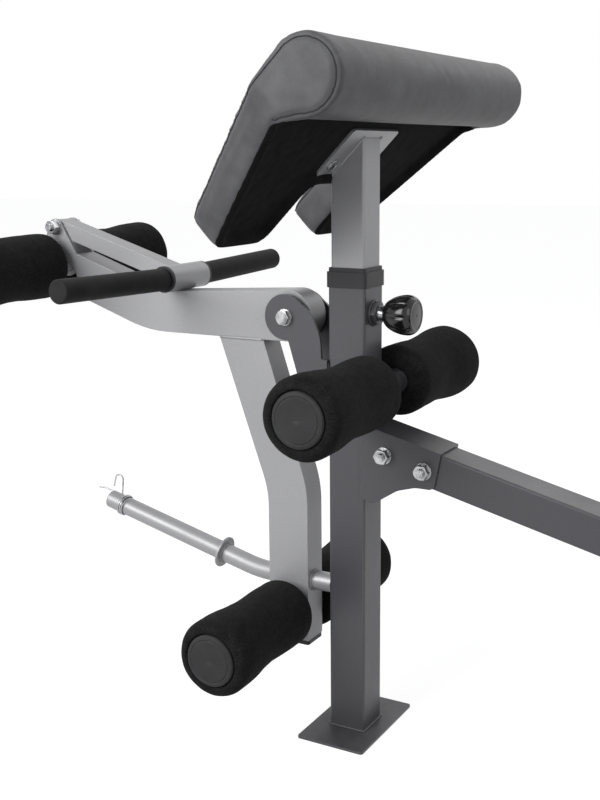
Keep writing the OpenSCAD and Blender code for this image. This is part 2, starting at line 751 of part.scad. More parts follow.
function arm_corners(length) = [
  [-38.2 - arm_x - 7.8, -beam_r, 0], [arm_front, -232.4, 120], [arm_front, -length, 0],
  [arm_back, -length, 0], [arm_back, -223.4, 150], [-38.2, -beam_r, 0]
];
module lever_arm() color(light_paint) difference() {
  plate(-lever_w / 2, lever_w / 2) on_pivot() polygon(rounded(arm_corners(arm_len), 8));
  plate(-lever_w / 2 + arm_wall, lever_w / 2 - arm_wall) on_pivot()
    polygon(rounded(inset(arm_corners(arm_len + 3 * arm_wall), arm_wall), 8));
  x_rod(pivot_x + arm_front - tube_w, pivot_x + arm_back + tube_w, horn_z, round_r + fit_gap);
  y_rod(lower_x, lower_z, round_r + fit_gap, -tube_w, tube_w);
}

// Plugs in the beam's front end and the arm's lower end
module lever_end_plugs() color(black_plastic) {
  flange = 3;
  depth = 14;
  beam_in = 2 * lug_in - 2 * fit_gap;
  arm_in = lever_w - 2 * arm_wall - 2 * fit_gap;
  lean = tan(beam_rise);
  low = tip_low + (beam_wall + fit_gap) / cos(beam_rise);
  high = tip_high - (beam_wall + fit_gap) / cos(beam_rise);
  plate(-beam_in / 2, beam_in / 2) on_pivot() polygon([
    [-beam_len - flange, low + flange * lean], [-beam_len + depth, low - depth * lean],
    [-beam_len + depth, high - depth * lean], [-beam_len - flange, high + flange * lean]
  ]);
  translate([pivot_x + arm_mid, 0, arm_bottom]) {
    translate([0, 0, -2 * flange]) linear_extrude(2 * flange) polygon(box_outline(arm_x, lever_w, 3));
    linear_extrude(depth) polygon(box_outline(arm_x - 2 * arm_wall - 2 * fit_gap, arm_in, 1));
  }
}

module lever_lugs() color(light_paint) {
  tip = [beam_tip_x, pivot_z + tip_high];
  roller = [front_x, front_z];
  pin_boss = 11.5;
  roller_boss = 19;
  difference() {
    both_sides() plate(lug_in, lug_in + lug_t) {
      translate(lug_pin) circle(pin_boss);
      translate(roller) circle(roller_boss);
      polygon(belt(lug_pin, pin_boss, roller, roller_boss));
      polygon(rounded([
        [tip.x, tip.y, 0], [lug_pin.x + 9, lug_pin.y + 7, 0], [lug_pin.x, lug_pin.y, 0],
        [roller.x, roller.y, 0], [roller.x + 17, roller.y - 8, 0], [tip.x - 10, tip.y - 10, 9],
        [tip.x, tip.y - 32, 0]
      ]));
    }
    y_rod(lug_pin.x, lug_pin.y, m10_r + hole_gap, -tube_w, tube_w);
    y_rod(roller.x, roller.y, round_r + fit_gap, -tube_w, tube_w);
  }
}

module front_roller_tube() color(light_paint) roller_tube(front_x, front_z, front_in);
module lower_roller_tube() color(light_paint) roller_tube(lower_x, lower_z, lower_in);
module lever_end_caps() color(black_plastic) {
  roller_caps(front_x, front_z, front_in);
  roller_caps(lower_x, lower_z, lower_in);
}
module front_foam_near() foam(front_x, front_z, front_in, false);
module front_foam_far() foam(front_x, front_z, front_in, true);
module lower_foam_near() foam(lower_x, lower_z, lower_in, false);
module lower_foam_far() foam(lower_x, lower_z, lower_in, true);

// Weight horn: a tube through the arm that bends upwards, with a rubber stop at its rear end
// A bend is slimmer by a seam than the straight parts, and runs a short way into them
module bend_ring(bend_r, angle, r, bore) rotate([0, 0, -bend_lap])
  rotate_extrude(angle = angle + 2 * bend_lap) translate([bend_r, 0]) difference() {
    circle(r - seam);
    if (bore > 0) circle(bore + seam);
  }
module weight_horn() color(light_paint) {
  start = horn_bend_x + horn_reach;
  bore = round_r - round_wall;
  difference() {
    x_rod(start, stub_end, horn_z, round_r);
    x_rod(start - cut, stub_end + cut, horn_z, bore);
  }
  translate([start, 0, horn_z + horn_bend_r]) rotate([90, 0, 0]) rotate([0, 0, 270 - horn_rise])
    bend_ring(horn_bend_r, horn_rise, round_r, bore);
  on_horn() translate([0, 0, horn_reach]) difference() {
    cylinder(r = round_r, h = horn_len - horn_reach);
    translate([0, 0, -cut]) cylinder(r = bore, h = horn_len - horn_reach + 2 * cut);
  }
}
module horn_flange() color(light_paint) on_horn() translate([0, 0, flange_at - flange_t / 2])
  rotate_extrude() polygon(rounded([
    [round_r + fit_gap, 0, 0], [flange_r, 0, 1.4], [flange_r, flange_t, 1.4], [round_r + fit_gap, flange_t, 0]
  ], 4));
module horn_spigot(length) cylinder(r = round_r - round_wall - fit_gap, h = length);
module horn_end_plug() color(light_paint) on_horn() {
  translate([0, 0, horn_len - 15]) horn_spigot(16);
  translate([0, 0, horn_len]) rotate_extrude() polygon(rounded([
    [0, 0, 0], [round_r, 0, 0.6], [round_r, horn_plug, 2], [0, horn_plug, 0]
  ], 4));
}
module stop_bumper() color(black_plastic) translate([stub_end, 0, horn_z]) rotate([0, 90, 0]) {
  translate([0, 0, -12]) horn_spigot(13);
  rotate_extrude() polygon(rounded([[0, 0, 0], [round_r, 0, 0.6], [round_r, stop_t, 2], [0, stop_t, 0]], 4));
}

// Spring clip: a coil on the horn with one leg turned up into a hook and one along the horn
clip_h = clip_turns * clip_pitch;
hook_r = 6.7;
leg_bend = 4;
clip_path = concat(
  [[leg_bend - 3, clip_r, clip_h / 2 + 56], [leg_bend - 1.5, clip_r, clip_h / 2 + 50],
   [leg_bend, clip_r, clip_h / 2 + 44], [leg_bend, clip_r, clip_h / 2 + leg_bend + 12]],
  [for (a = [0 : 30 : 60])
    [leg_bend * cos(a), clip_r, clip_h / 2 + leg_bend - leg_bend * sin(a)]],
  [for (k = [0 : clip_turns * clip_rings])
    let (a = 90 + 360 * k / clip_rings)
    [clip_r * cos(a), clip_r * sin(a), clip_h / 2 - clip_pitch * k / clip_rings]],
  [[8, -clip_r, -clip_h / 2], [40, -clip_r, 0.6]],
  [for (a = [0 : 30 : 180]) [42 + hook_r * sin(a), -clip_r, 7.4 - hook_r * cos(a)]],
  [[29, -clip_r, 14.6]]
);
echo(least_clip_gap = least_gap(clip_path, clip_wire_r, 8));
module spring_clip() color(bright_zinc) on_horn() translate([0, 0, clip_at])
  wire(clip_path, clip_wire_r, [0, 1, 0]);

// Curl bar: an arm hinged on the lugs, a sleeve across its end and the bar that turns in it
module curl_pivot_bolt() color(bright_zinc) translate([lug_pin.x, lug_in + lug_t, lug_pin.y])
  rotate([90, 0, 0]) bolt(m10_r, m10_flat, m10_head, 2 * (lug_in + lug_t), m10_nut, 4.5);
module curl_arm() color(light_paint) {
  wall = 2;
  difference() {
    on_curl_arm() difference() {
      plate(-curl_w / 2, curl_w / 2) {
        circle(curl_h / 2);
        translate([0, -curl_h / 2]) square([curl_len, curl_h]);
      }
      plate(-curl_w / 2 + wall, curl_w / 2 - wall) {
        circle(curl_h / 2 - wall);
        translate([0, -curl_h / 2 + wall]) square([curl_len, curl_h - 2 * wall]);
      }
      y_rod(0, 0, pivot_bore_r, -tube_w, tube_w);
    }
    y_rod(sleeve_x, sleeve_z, sleeve_r, -tube_w, tube_w);
  }
}
sleeve_bore_r = sleeve_r - 2.3;
module curl_sleeve() color(light_paint) difference() {
  y_rod(sleeve_x, sleeve_z, sleeve_r, -sleeve_y / 2, sleeve_y / 2);
  y_rod(sleeve_x, sleeve_z, sleeve_bore_r, -sleeve_y, sleeve_y);
}
module sleeve_bushes() color(black_plastic) both_sides() difference() {
  union() {
    y_rod(sleeve_x, sleeve_z, sleeve_r, sleeve_y / 2, sleeve_y / 2 + bush_t);
    y_rod(sleeve_x, sleeve_z, sleeve_bore_r - fit_gap, sleeve_y / 2 - 22, sleeve_y / 2);
  }
  y_rod(sleeve_x, sleeve_z, bar_r + run_gap, 0, sleeve_y);
}
// Each end of the bar leans forwards and up from where it leaves the sleeve
bar_lean = 143.6;
bar_bend_r = 60;
bar_bend_y = bar_knee - 3;
module on_bar_end() translate([sleeve_x, bar_bend_y, sleeve_z]) rotate([0, -bar_lean, 0])
  translate([bar_bend_r, 0, 0]) rotate([0, 0, -bar_bend]) translate([-bar_bend_r, 0, 0])
    rotate([-90, 0, 0]) children();
grip_start = 1;
grip_len = (grip_end - bar_bend_y - bar_bend_r * sin(bar_bend)) / cos(bar_bend);
module curl_bar() color(light_paint) {
  y_rod(sleeve_x, sleeve_z, bar_r, -bar_bend_y, bar_bend_y);
  both_sides() {
    translate([sleeve_x, bar_bend_y, sleeve_z]) rotate([0, -bar_lean, 0]) translate([bar_bend_r, 0, 0])
      rotate([0, 0, 180 - bar_bend]) bend_ring(bar_bend_r, bar_bend, bar_r, 0);
    on_bar_end() cylinder(r = bar_r, h = grip_len - grip_cap - fit_gap);
  }
}
module curl_grips() color(rubber_black) both_sides() on_bar_end() difference() {
  rotate_extrude() polygon(rounded([
    [0, grip_start, 0], [grip_r, grip_start, 1.5], [grip_r, grip_len, 2.5], [0, grip_len, 0]
  ], 4));
  translate([0, 0, -cut]) cylinder(r = bar_r + fit_gap, h = grip_len - grip_cap + cut);
}

// Preacher pad
module preacher_post() color(light_paint) difference() {
  translate([0, 0, preacher_bottom])
    square_tube(preacher_w, preacher_w, tube_wall, pad_z + tube_w - preacher_bottom);
  on_pad() translate([-roll_up, -tube_w, 0]) cube([4 * roll_up, 2 * tube_w, 3 * tube_w]);
  for (i = [0 : hole_count - 1])
    x_rod(preacher_w / 2 - 2 * tube_wall, preacher_w, plunger_z - i * hole_pitch, plunger_hole_r);
}
module preacher_plate() color(light_paint) on_pad() difference() {
  translate([plate_mid, 0, 0]) linear_extrude(plate_t) polygon(box_outline(plate_s, plate_y, 6));
  both_sides() translate([bolt_s, bolt_y, -cut]) cylinder(r = m8_r + hole_gap, h = plate_t + 2 * cut);
}
bolt_depth = plate_t + board_t - 2;
module preacher_bolts() color(bright_zinc) on_pad() both_sides() translate([bolt_s, bolt_y, 0])
  screw(m8_r, m8_flat, m8_head, bolt_depth);

pad_start = 2;
pad_knee = 48;
board_start = roll_r + 1.8;
pad_corners = [
  [pad_start, -pad_w / 2, 0], [pad_knee, -pad_w / 2, 30],
  [pad_len, -pad_end_w / 2, 36], [pad_len, -notch_w / 2, 24],
  [pad_len - notch_len, -notch_w / 2, 17], [pad_len - notch_len, notch_w / 2, 17],
  [pad_len, notch_w / 2, 24], [pad_len, pad_end_w / 2, 36],
  [pad_knee, pad_w / 2, 30], [pad_start, pad_w / 2, 0]
];
pad_profile = [
  for (level = [[6, 0], [2, 0.05], [1.5, 0.2], [2.5, 0.5], [1, 0.75], [3.5, 0.9], [9, 0.98], [20, 1]])
    [level[0], plate_t + pad_t * level[1]]
];
module preacher_board() color(board_black) on_pad() difference() {
  translate([0, 0, plate_t]) linear_extrude(board_t) polygon(rounded(inset(pad_corners, board_inset)));
  translate([0, -pad_w / 2, 0]) cube([board_start, pad_w, plate_t + board_t + cut]);
  both_sides() translate([bolt_s, bolt_y, 0]) cylinder(r = m8_r + fit_gap, h = bolt_depth + 1);
}
module preacher_pad() color(vinyl) on_pad() {
  translate([0, 0, roll_t]) rotate([-90, 0, 0]) rotate_extrude() polygon(rounded([
    [0, -pad_w / 2, 0], [roll_r, -pad_w / 2, 6], [roll_r, pad_w / 2, 6], [0, pad_w / 2, 0]
  ]));
  cushion(pad_corners, pad_profile, board_t + soft_gap, 0, board_start - soft_gap - pad_start);
}

// Seat
module below_rail() on_rail() translate([0, -tube_w, -4 * tube_w])
  cube([rail_len, 2 * tube_w, 4 * tube_w + rail_h / 2]);
module seat_post() color(dark_paint) difference() {
  low = rail_line(seat_post_x + half_tube);
  translate([seat_post_x, 0, low]) square_tube(tube_w, tube_w, tube_wall, frame_low - low);
  below_rail();
}
function xz_box(x0, x1, z0, z1, r) = [[x0, z0, r], [x1, z0, r], [x1, z1, r], [x0, z1, r]];
module flat_bars(places, z) for (x = places)
  translate([x - bar_x / 2, -seat_y / 2 + bar_inset, z]) cube([bar_x, seat_y - 2 * bar_inset, ear_t]);
bar_x = 30;
bar_inset = 40;
seat_bar_places = [205, 45];
seat_bars = [for (place = seat_bar_places) seat_end_x - place];
screw_inset = 20;
screw_y = seat_y / 2 - bar_inset - screw_inset;
seat_beam_len = 278;
seat_beam_gap = 14;
adjust_pin = [hinge_x + adjust_r * cos(adjust_angle), hinge_z + adjust_r * sin(adjust_angle)];
quadrant_half = 2.5;
cheek_in = 3;
cheek_t = 4;
boss_end = 30;
module seat_frame() color(dark_paint) {
  beam_end = hinge_x - seat_beam_gap;
  beam_start = beam_end - seat_beam_len;
  difference() {
    union() {
      difference() {
        plate(-half_tube, half_tube)
          polygon(rounded(xz_box(beam_start, beam_end, frame_low, seat_frame_z, 2)));
        plate(-half_tube + rail_wall, half_tube - rail_wall) polygon(rounded(
          xz_box(beam_start + 3, beam_end - 3, frame_low + rail_wall, seat_frame_z - rail_wall, 0)));
      }
      flat_bars(seat_bars, seat_frame_z);
      both_sides() plate(half_tube, half_tube + ear_t) {
        translate([hinge_x, hinge_z]) circle(hinge_ear_r);
        polygon(rounded([
          [hinge_x - 47, frame_low + 2, 4], [hinge_x - 12, frame_low + 2, 12],
          [hinge_x + hinge_ear_r - 1, hinge_z - 5, 0], [hinge_x, hinge_z, 0],
          [hinge_x - 9, hinge_z + 12, 0], [hinge_x - 47, seat_frame_z - 2, 4]
        ]));
      }
      both_sides() plate(cheek_in, cheek_in + cheek_t) polygon(rounded([
        [hinge_x - 57, frame_low, 0], [adjust_pin.x - 16, adjust_pin.y + 12, 12],
        [adjust_pin.x - 12, adjust_pin.y - 12, 9], [adjust_pin.x + 12, adjust_pin.y - 12, 9],
        [adjust_pin.x + 12, adjust_pin.y + 12, 12], [beam_end, frame_low, 0]
      ]));
      y_rod(adjust_pin.x, adjust_pin.y, 9, -boss_end, -cheek_in);
    }
    y_rod(hinge_x, hinge_z, m10_r + hole_gap, -tube_w, tube_w);
    y_rod(adjust_pin.x, adjust_pin.y, m10_r + run_gap, -tube_w, 0);
    y_rod(adjust_pin.x, adjust_pin.y, plunger_hole_r, 0, tube_w);
    for (x = seat_bars, y = [-screw_y, screw_y])
      translate([x, y, frame_low]) cylinder(r = m8_r + hole_gap, h = tube_w);
  }
}
board_corner = 30;
cushion_corner = 42;
cushion_profile = [
  [7, 0], [2, 0.05], [1.5, 0.22], [2.5, 0.5], [1, 0.72], [4, 0.86], [11, 0.95], [24, 0.985], [55, 1]
];
module pad_board(x0, x1) difference() {
  translate([(x0 + x1) / 2, 0, seat_board_z]) linear_extrude(board_t)
    polygon(box_outline(x1 - x0 - 2 * board_inset, seat_y - 2 * board_inset, board_corner));
  children();
}
module pad_cushion(x0, x1) translate([(x0 + x1) / 2, 0, cushion_z]) cushion(
  box_corners(x1 - x0, seat_y, cushion_corner),
  [for (level = cushion_profile) [level[0], cushion_t * level[1]]],
  board_t + seat_board_z - cushion_z + soft_gap
);
module board_holes(places) for (x = places, y = [-screw_y, screw_y])
  translate([x, y, seat_board_z - cut]) cylinder(r = m8_r + fit_gap, h = board_t);
module board_screws(places) for (x = places, y = [-screw_y, screw_y])
  translate([x, y, seat_frame_z]) screw(m8_r, m8_flat, m8_head, board_t + 2);
module seat_board() color(board_black) pad_board(seat_end_x - seat_x, seat_end_x) board_holes(seat_bars);
module seat_pad() color(vinyl) pad_cushion(seat_end_x - seat_x, seat_end_x);
module seat_screws() color(bright_zinc) board_screws(seat_bars);

// Backrest
module back_hinge_bolt() color(bright_zinc) translate([hinge_x, -half_tube - ear_t, hinge_z])
  rotate([-90, 0, 0]) bolt(m10_r, m10_flat, m10_head, tube_w + 2 * ear_t, m10_nut, 2);
module back_lock_pin() color(bright_zinc) {
  tip = cheek_in;
  grip_at = boss_end + 15;
  y_rod(adjust_pin.x, adjust_pin.y, m10_r, -grip_at, -tip);
  y_rod(adjust_pin.x, adjust_pin.y, 11, -grip_at - 12, -grip_at);
}
first_bar = 45;
last_bar = 110;
back_bars = [back_start_x + first_bar, back_start_x + back_x / 2, back_start_x + back_x - last_bar];
spine_h = 25;
spine_low = seat_frame_z - spine_h;
spine_inset = 70;
quadrant_root = [28, 95];
module back_frame() color(dark_paint) {
  spine_start = hinge_x + 3;
  spine_end = back_start_x + back_x - spine_inset;
  last = adjust_angle - (back_holes - 1) * back_step;
  half_band = 11;
  hinge = [hinge_x, hinge_z];
  difference() {
    union() {
      difference() {
        plate(-half_tube + soft_gap, half_tube - soft_gap)
          polygon(rounded(xz_box(spine_start, spine_end, spine_low, seat_frame_z, 2)));
        plate(-half_tube + rail_wall, half_tube - rail_wall)
          polygon(rounded(xz_box(
            spine_start + 3, spine_end - 3, spine_low + rail_wall, seat_frame_z - rail_wall, 0)));
      }
      y_rod(hinge_x, hinge_z, hinge_r, -half_tube + soft_gap, half_tube - soft_gap);
      flat_bars(back_bars, seat_frame_z);
      plate(-quadrant_half, quadrant_half) {
        translate(hinge + adjust_r * [cos(last), sin(last)]) circle(half_band);
        polygon(concat(
          arc(hinge, adjust_r + half_band, last, adjust_angle + 16 - last, 16),
          arc(hinge, adjust_r - half_band, adjust_angle + 16, last - adjust_angle - 16, 16)
        ));
        polygon([
          hinge + (adjust_r - half_band) * [cos(adjust_angle + 4), sin(adjust_angle + 4)],
          hinge + (adjust_r + half_band) * [cos(adjust_angle + 16), sin(adjust_angle + 16)],
          [hinge_x + quadrant_root[1], spine_low + 1], [hinge_x + quadrant_root[0], spine_low + 1]
        ]);
      }
    }
    y_rod(hinge_x, hinge_z, pivot_bore_r, -tube_w, tube_w);
    for (i = [0 : back_holes - 1]) let (a = adjust_angle - i * back_step)
      y_rod(hinge_x + adjust_r * cos(a), hinge_z + adjust_r * sin(a), plunger_hole_r, -tube_w, tube_w);
    for (x = back_bars, y = [-screw_y, screw_y])
      translate([x, y, spine_low]) cylinder(r = m8_r + hole_gap, h = tube_w);
  }
}
module back_board() color(board_black) pad_board(back_start_x, back_start_x + back_x) board_holes(back_bars);
module back_pad() color(vinyl) pad_cushion(back_start_x, back_start_x + back_x);
module back_screws() color(bright_zinc) board_screws(back_bars);

front_upright();
foot_plate();
upright_collar();
pivot_bracket();
pivot_bolt();
plunger_nut();
plunger_barrel();
lock_pin();
pull_knob();
plunger_spring();
rail_bracket();
main_rail();
rail_bolts();
frame_end_plugs();
rear_foot();
rear_saddle();
upper_roller_tube();
upper_end_caps();
upper_foam_near();
upper_foam_far();
lever_beam();
lever_arm();
lever_lugs();
lever_end_plugs();
pivot_bushes();
weight_horn();
horn_flange();
horn_end_plug();
stop_bumper();
spring_clip();
front_roller_tube();
lower_roller_tube();
lever_end_caps();
front_foam_near();
front_foam_far();
lower_foam_near();
lower_foam_far();
curl_pivot_bolt();
curl_arm();
curl_sleeve();
sleeve_bushes();
curl_bar();
curl_grips();
preacher_post();
preacher_plate();
preacher_bolts();
preacher_board();
preacher_pad();
seat_post();
seat_frame();
seat_board();
seat_pad();
seat_screws();
back_hinge_bolt();
back_lock_pin();
back_frame();
back_board();
back_pad();
back_screws();
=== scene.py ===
import math
import random

import bmesh
import bpy
from mathutils import Matrix, Vector
from mathutils.bvhtree import BVHTree
from mathutils.kdtree import KDTree


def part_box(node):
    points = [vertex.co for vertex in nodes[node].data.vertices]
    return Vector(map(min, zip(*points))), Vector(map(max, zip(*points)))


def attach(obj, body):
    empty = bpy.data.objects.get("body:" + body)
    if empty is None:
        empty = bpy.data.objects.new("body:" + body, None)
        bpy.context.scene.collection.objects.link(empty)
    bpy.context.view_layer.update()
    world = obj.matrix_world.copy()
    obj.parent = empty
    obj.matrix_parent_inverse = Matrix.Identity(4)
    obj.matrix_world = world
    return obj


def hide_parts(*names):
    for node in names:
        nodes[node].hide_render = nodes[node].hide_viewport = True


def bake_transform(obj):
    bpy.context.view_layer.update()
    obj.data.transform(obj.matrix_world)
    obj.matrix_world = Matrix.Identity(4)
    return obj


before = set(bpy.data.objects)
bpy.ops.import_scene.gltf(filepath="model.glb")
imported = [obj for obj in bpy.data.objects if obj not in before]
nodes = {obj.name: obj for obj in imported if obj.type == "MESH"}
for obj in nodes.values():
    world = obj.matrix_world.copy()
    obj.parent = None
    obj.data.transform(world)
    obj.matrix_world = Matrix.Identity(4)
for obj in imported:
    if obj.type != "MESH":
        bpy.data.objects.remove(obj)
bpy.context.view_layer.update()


MM = 0.001

# Places and slopes that the pieces made here share with the part
PIVOT = Vector((-84.5, 0, 542)) * MM
CURL_PIN = Vector((-460, 0, 644.957)) * MM
FRONT_AXLE = Vector((-473, 0, 591.957)) * MM
LOWER_AXLE = Vector((-89.25, 0, 151)) * MM
UPPER_AXLE = Vector((37.7, 0, 460)) * MM
PLUNGER_Z = 0.550
HORN_BEND = Vector((-0.1444, 0, 0.190))
HORN_AHEAD = Vector((-0.96987, 0, 0.24362))
HORN_UP = Vector((0.24362, 0, 0.96987))
ROLL_X, ROLL_Z = 0.077075, 0.813875
PAD_SLANT = math.sqrt(0.5)
RAIL_START_X, RAIL_START_Z = 25, 389.7
RAIL_FALL = math.radians(13.9)
FLAT_PAD_LOW = 0.421

# Camera: the photograph's viewing angle, for an image of 600 by 800
CAMERA_PLACE = (0.6356585, -1.2534513, 0.7398224)
CAMERA_TURN = (0.518925544, 0.210774595, -0.00999819)
FOCAL_PIXELS = 1144.57021
IMAGE_HEIGHT = 800
SENSOR = 36


def place_camera():
    around, down, roll = CAMERA_TURN
    right = Vector((math.cos(around), math.sin(around), 0))
    level = Vector((-math.sin(around), math.cos(around), 0))
    ahead = level * math.cos(down) - Vector((0, 0, math.sin(down)))
    up = Vector((0, 0, math.cos(down))) + level * math.sin(down)
    turned_right = right * math.cos(roll) + up * math.sin(roll)
    turned_up = up * math.cos(roll) - right * math.sin(roll)
    lens = bpy.data.cameras.new("bench_camera")
    lens.sensor_width = SENSOR
    lens.lens = FOCAL_PIXELS * SENSOR / IMAGE_HEIGHT
    camera = bpy.data.objects.new("bench_camera", lens)
    bpy.context.scene.collection.objects.link(camera)
    turn = Matrix((turned_right, turned_up, -ahead)).transposed()
    camera.matrix_world = Matrix.Translation(CAMERA_PLACE) @ turn.to_4x4()
    lens.clip_start, lens.clip_end = 0.02, 60
    bpy.context.scene.camera = camera


place_camera()


# Colours are written as seen and turned into linear light here
def seen(code):
    parts = [int(code[i:i + 2], 16) / 255 for i in (1, 3, 5)]
    return tuple(c / 12.92 if c <= 0.04045 else ((c + 0.055) / 1.055) ** 2.4 for c in parts) + (1.0,)


# Shared surface effects
def effect(name, inputs, outputs):
    group = bpy.data.node_groups.new(name, "ShaderNodeTree")
    for label, value in inputs:
        socket = group.interface.new_socket(label, in_out="INPUT", socket_type="NodeSocketFloat")
        socket.default_value = value
    for label, kind in outputs:
        group.interface.new_socket(label, in_out="OUTPUT", socket_type=kind)
    source = group.nodes.new("NodeGroupInput")
    sink = group.nodes.new("NodeGroupOutput")
    return group, source, sink


def add_node(tree, kind, links=(), **values):
    made = tree.nodes.new(kind)
    for key, value in values.items():
        setattr(made, key, value)
    for socket, value in links:
        target = made.inputs[socket]
        if isinstance(value, bpy.types.NodeSocket):
            tree.links.new(value, target)
        else:
            target.default_value = value
    return made


def noise(tree, place, scale, detail=3.0, roughness=0.55):
    return add_node(tree, "ShaderNodeTexNoise", [
        ("Vector", place), ("Scale", scale), ("Detail", detail), ("Roughness", roughness)]).outputs[0]


def spread(tree, value, low, high, to_low=0.0, to_high=1.0):
    return add_node(tree, "ShaderNodeMapRange", [
        (0, value), (1, low), (2, high), (3, to_low), (4, to_high)]).outputs[0]


def maths(tree, operation, first, second=0.0):
    return add_node(tree, "ShaderNodeMath", [(0, first), (1, second)], operation=operation).outputs[0]


def product(tree, first, second):
    return maths(tree, "MULTIPLY", first, second)


def vector_maths(tree, operation, first, second):
    return add_node(tree, "ShaderNodeVectorMath", [(0, first), (1, second)], operation=operation)


def object_place(tree):
    return tree.nodes.new("ShaderNodeTexCoord").outputs["Object"]


def make_paint_flake():
    group, source, sink = effect("paint_flake", [("Scale", 900.0)], [
        ("Shade", "NodeSocketFloat"), ("Height", "NodeSocketFloat"), ("Cloud", "NodeSocketFloat")])
    place = object_place(group)
    fine = noise(group, place, source.outputs["Scale"], 2.0, 0.6)
    orange_peel = noise(group, place, 260.0, 1.0, 0.4)
    cloud = noise(group, place, 7.0, 4.0, 0.55)
    group.links.new(spread(group, fine, 0.3, 0.7), sink.inputs["Shade"])
    group.links.new(orange_peel, sink.inputs["Height"])
    group.links.new(spread(group, cloud, 0.3, 0.7), sink.inputs["Cloud"])
    return group


def make_edge_wear():
    group, source, sink = effect("edge_wear", [("Radius", 0.0009), ("Amount", 0.5)], [
        ("Mask", "NodeSocketFloat"), ("Normal", "NodeSocketVector")])
    rounded = add_node(group, "ShaderNodeBevel", [("Radius", source.outputs["Radius"])], samples=4)
    flat = group.nodes.new("ShaderNodeNewGeometry").outputs["Normal"]
    along = vector_maths(group, "DOT_PRODUCT", rounded.outputs[0], flat).outputs["Value"]
    edge = spread(group, along, 0.995, 0.9)
    broken = spread(group, noise(group, object_place(group), 160.0, 4.0, 0.6), 0.42, 0.62)
    worn = product(group, product(group, edge, broken), source.outputs["Amount"])
    group.links.new(worn, sink.inputs["Mask"])
    group.links.new(rounded.outputs[0], sink.inputs["Normal"])
    return group


def make_dust():
    group, source, sink = effect("dust", [("Amount", 0.15)], [("Mask", "NodeSocketFloat")])
    normal = group.nodes.new("ShaderNodeNewGeometry").outputs["Normal"]
    up = add_node(group, "ShaderNodeSeparateXYZ", [(0, normal)]).outputs[2]
    settled = spread(group, up, 0.3, 1.0)
    patchy = spread(group, noise(group, object_place(group), 22.0, 6.0, 0.65), 0.35, 0.75)
    lying = product(group, product(group, settled, patchy), source.outputs["Amount"])
    group.links.new(lying, sink.inputs["Mask"])
    return group


def make_vinyl_grain():
    group, source, sink = effect("vinyl_grain", [("Scale", 620.0)], [
        ("Height", "NodeSocketFloat"), ("Shade", "NodeSocketFloat"), ("Crease", "NodeSocketFloat")])
    place = object_place(group)
    stray = add_node(group, "ShaderNodeTexNoise", [("Vector", place), ("Scale", 180.0)]).outputs[1]
    shift = vector_maths(group, "MULTIPLY", stray, (0.002, 0.002, 0.002)).outputs[0]
    bent = vector_maths(group, "ADD", place, shift).outputs[0]
    cells = add_node(group, "ShaderNodeTexVoronoi", [("Vector", bent), ("Scale", source.outputs["Scale"])],
                     feature="DISTANCE_TO_EDGE").outputs["Distance"]
    pebble = spread(group, cells, 0.0, 0.28)
    soft = noise(group, place, 30.0, 5.0, 0.6)
    crease = noise(group, place, 14.0, 2.0, 0.4)
    group.links.new(pebble, sink.inputs["Height"])
    group.links.new(spread(group, soft, 0.3, 0.7), sink.inputs["Shade"])
    group.links.new(crease, sink.inputs["Crease"])
    return group


def make_knit():
    group, source, sink = effect("knit", [("Scale", 520.0)], [
        ("Height", "NodeSocketFloat"), ("Shade", "NodeSocketFloat")])
    place = object_place(group)
    fuzz = noise(group, place, source.outputs["Scale"], 3.0, 0.7)
    lumps = noise(group, place, 90.0, 3.0, 0.6)
    cells = add_node(group, "ShaderNodeTexVoronoi", [("Vector", place), ("Scale", source.outputs["Scale"])])
    height = maths(group, "ADD", product(group, cells.outputs["Distance"], 0.6), product(group, fuzz, 0.7))
    group.links.new(height, sink.inputs["Height"])
    mixed = maths(group, "ADD", product(group, fuzz, 0.7), product(group, lumps, 0.3))
    group.links.new(spread(group, mixed, 0.36, 0.66), sink.inputs["Shade"])
    return group


def make_weave():
    group, source, sink = effect("weave", [("Scale", 420.0)], [
        ("Height", "NodeSocketFloat"), ("Shade", "NodeSocketFloat")])
    place = object_place(group)
    bands = []
    for direction in ("X", "Y", "Z"):
        wave = add_node(group, "ShaderNodeTexWave", [
            ("Vector", place), ("Scale", source.outputs["Scale"]), ("Distortion", 0.4)],
            bands_direction=direction)
        bands.append(wave.outputs[1])
    height = maths(group, "MAXIMUM", product(group, bands[0], bands[1]), bands[2])
    group.links.new(height, sink.inputs["Height"])
    group.links.new(spread(group, noise(group, place, 60.0, 4.0, 0.6), 0.3, 0.7), sink.inputs["Shade"])
    return group


paint_flake = make_paint_flake()
edge_wear = make_edge_wear()
dust = make_dust()
vinyl_grain = make_vinyl_grain()
knit = make_knit()
weave = make_weave()


# Materials
DUST_ON_PAINT, DUST_ON_PLASTIC, DUST_ON_VINYL = "#b9b7b2", "#8f8d89", "#a3a19d"
BARE_ZINC, SCUFFED_PLASTIC = "#e4e4e4", "#6a6a6c"


def start_material(name, **constants):
    material = bpy.data.materials.new(name)
    material.use_nodes = True
    tree = material.node_tree
    surface = tree.nodes["Principled BSDF"]
    for label, value in constants.items():
        surface.inputs[label.replace("_", " ")].default_value = value
    return material, tree, surface


def use_effect(tree, group, **values):
    made = tree.nodes.new("ShaderNodeGroup")
    made.node_tree = group
    for label, value in values.items():
        made.inputs[label].default_value = value
    return made.outputs


def mix(tree, factor, low, high):
    made = add_node(tree, "ShaderNodeMix", data_type="RGBA")
    for socket, value in ((0, factor), (6, low), (7, high)):
        if isinstance(value, bpy.types.NodeSocket):
            tree.links.new(value, made.inputs[socket])
        else:
            made.inputs[socket].default_value = value
    return made.outputs[2]


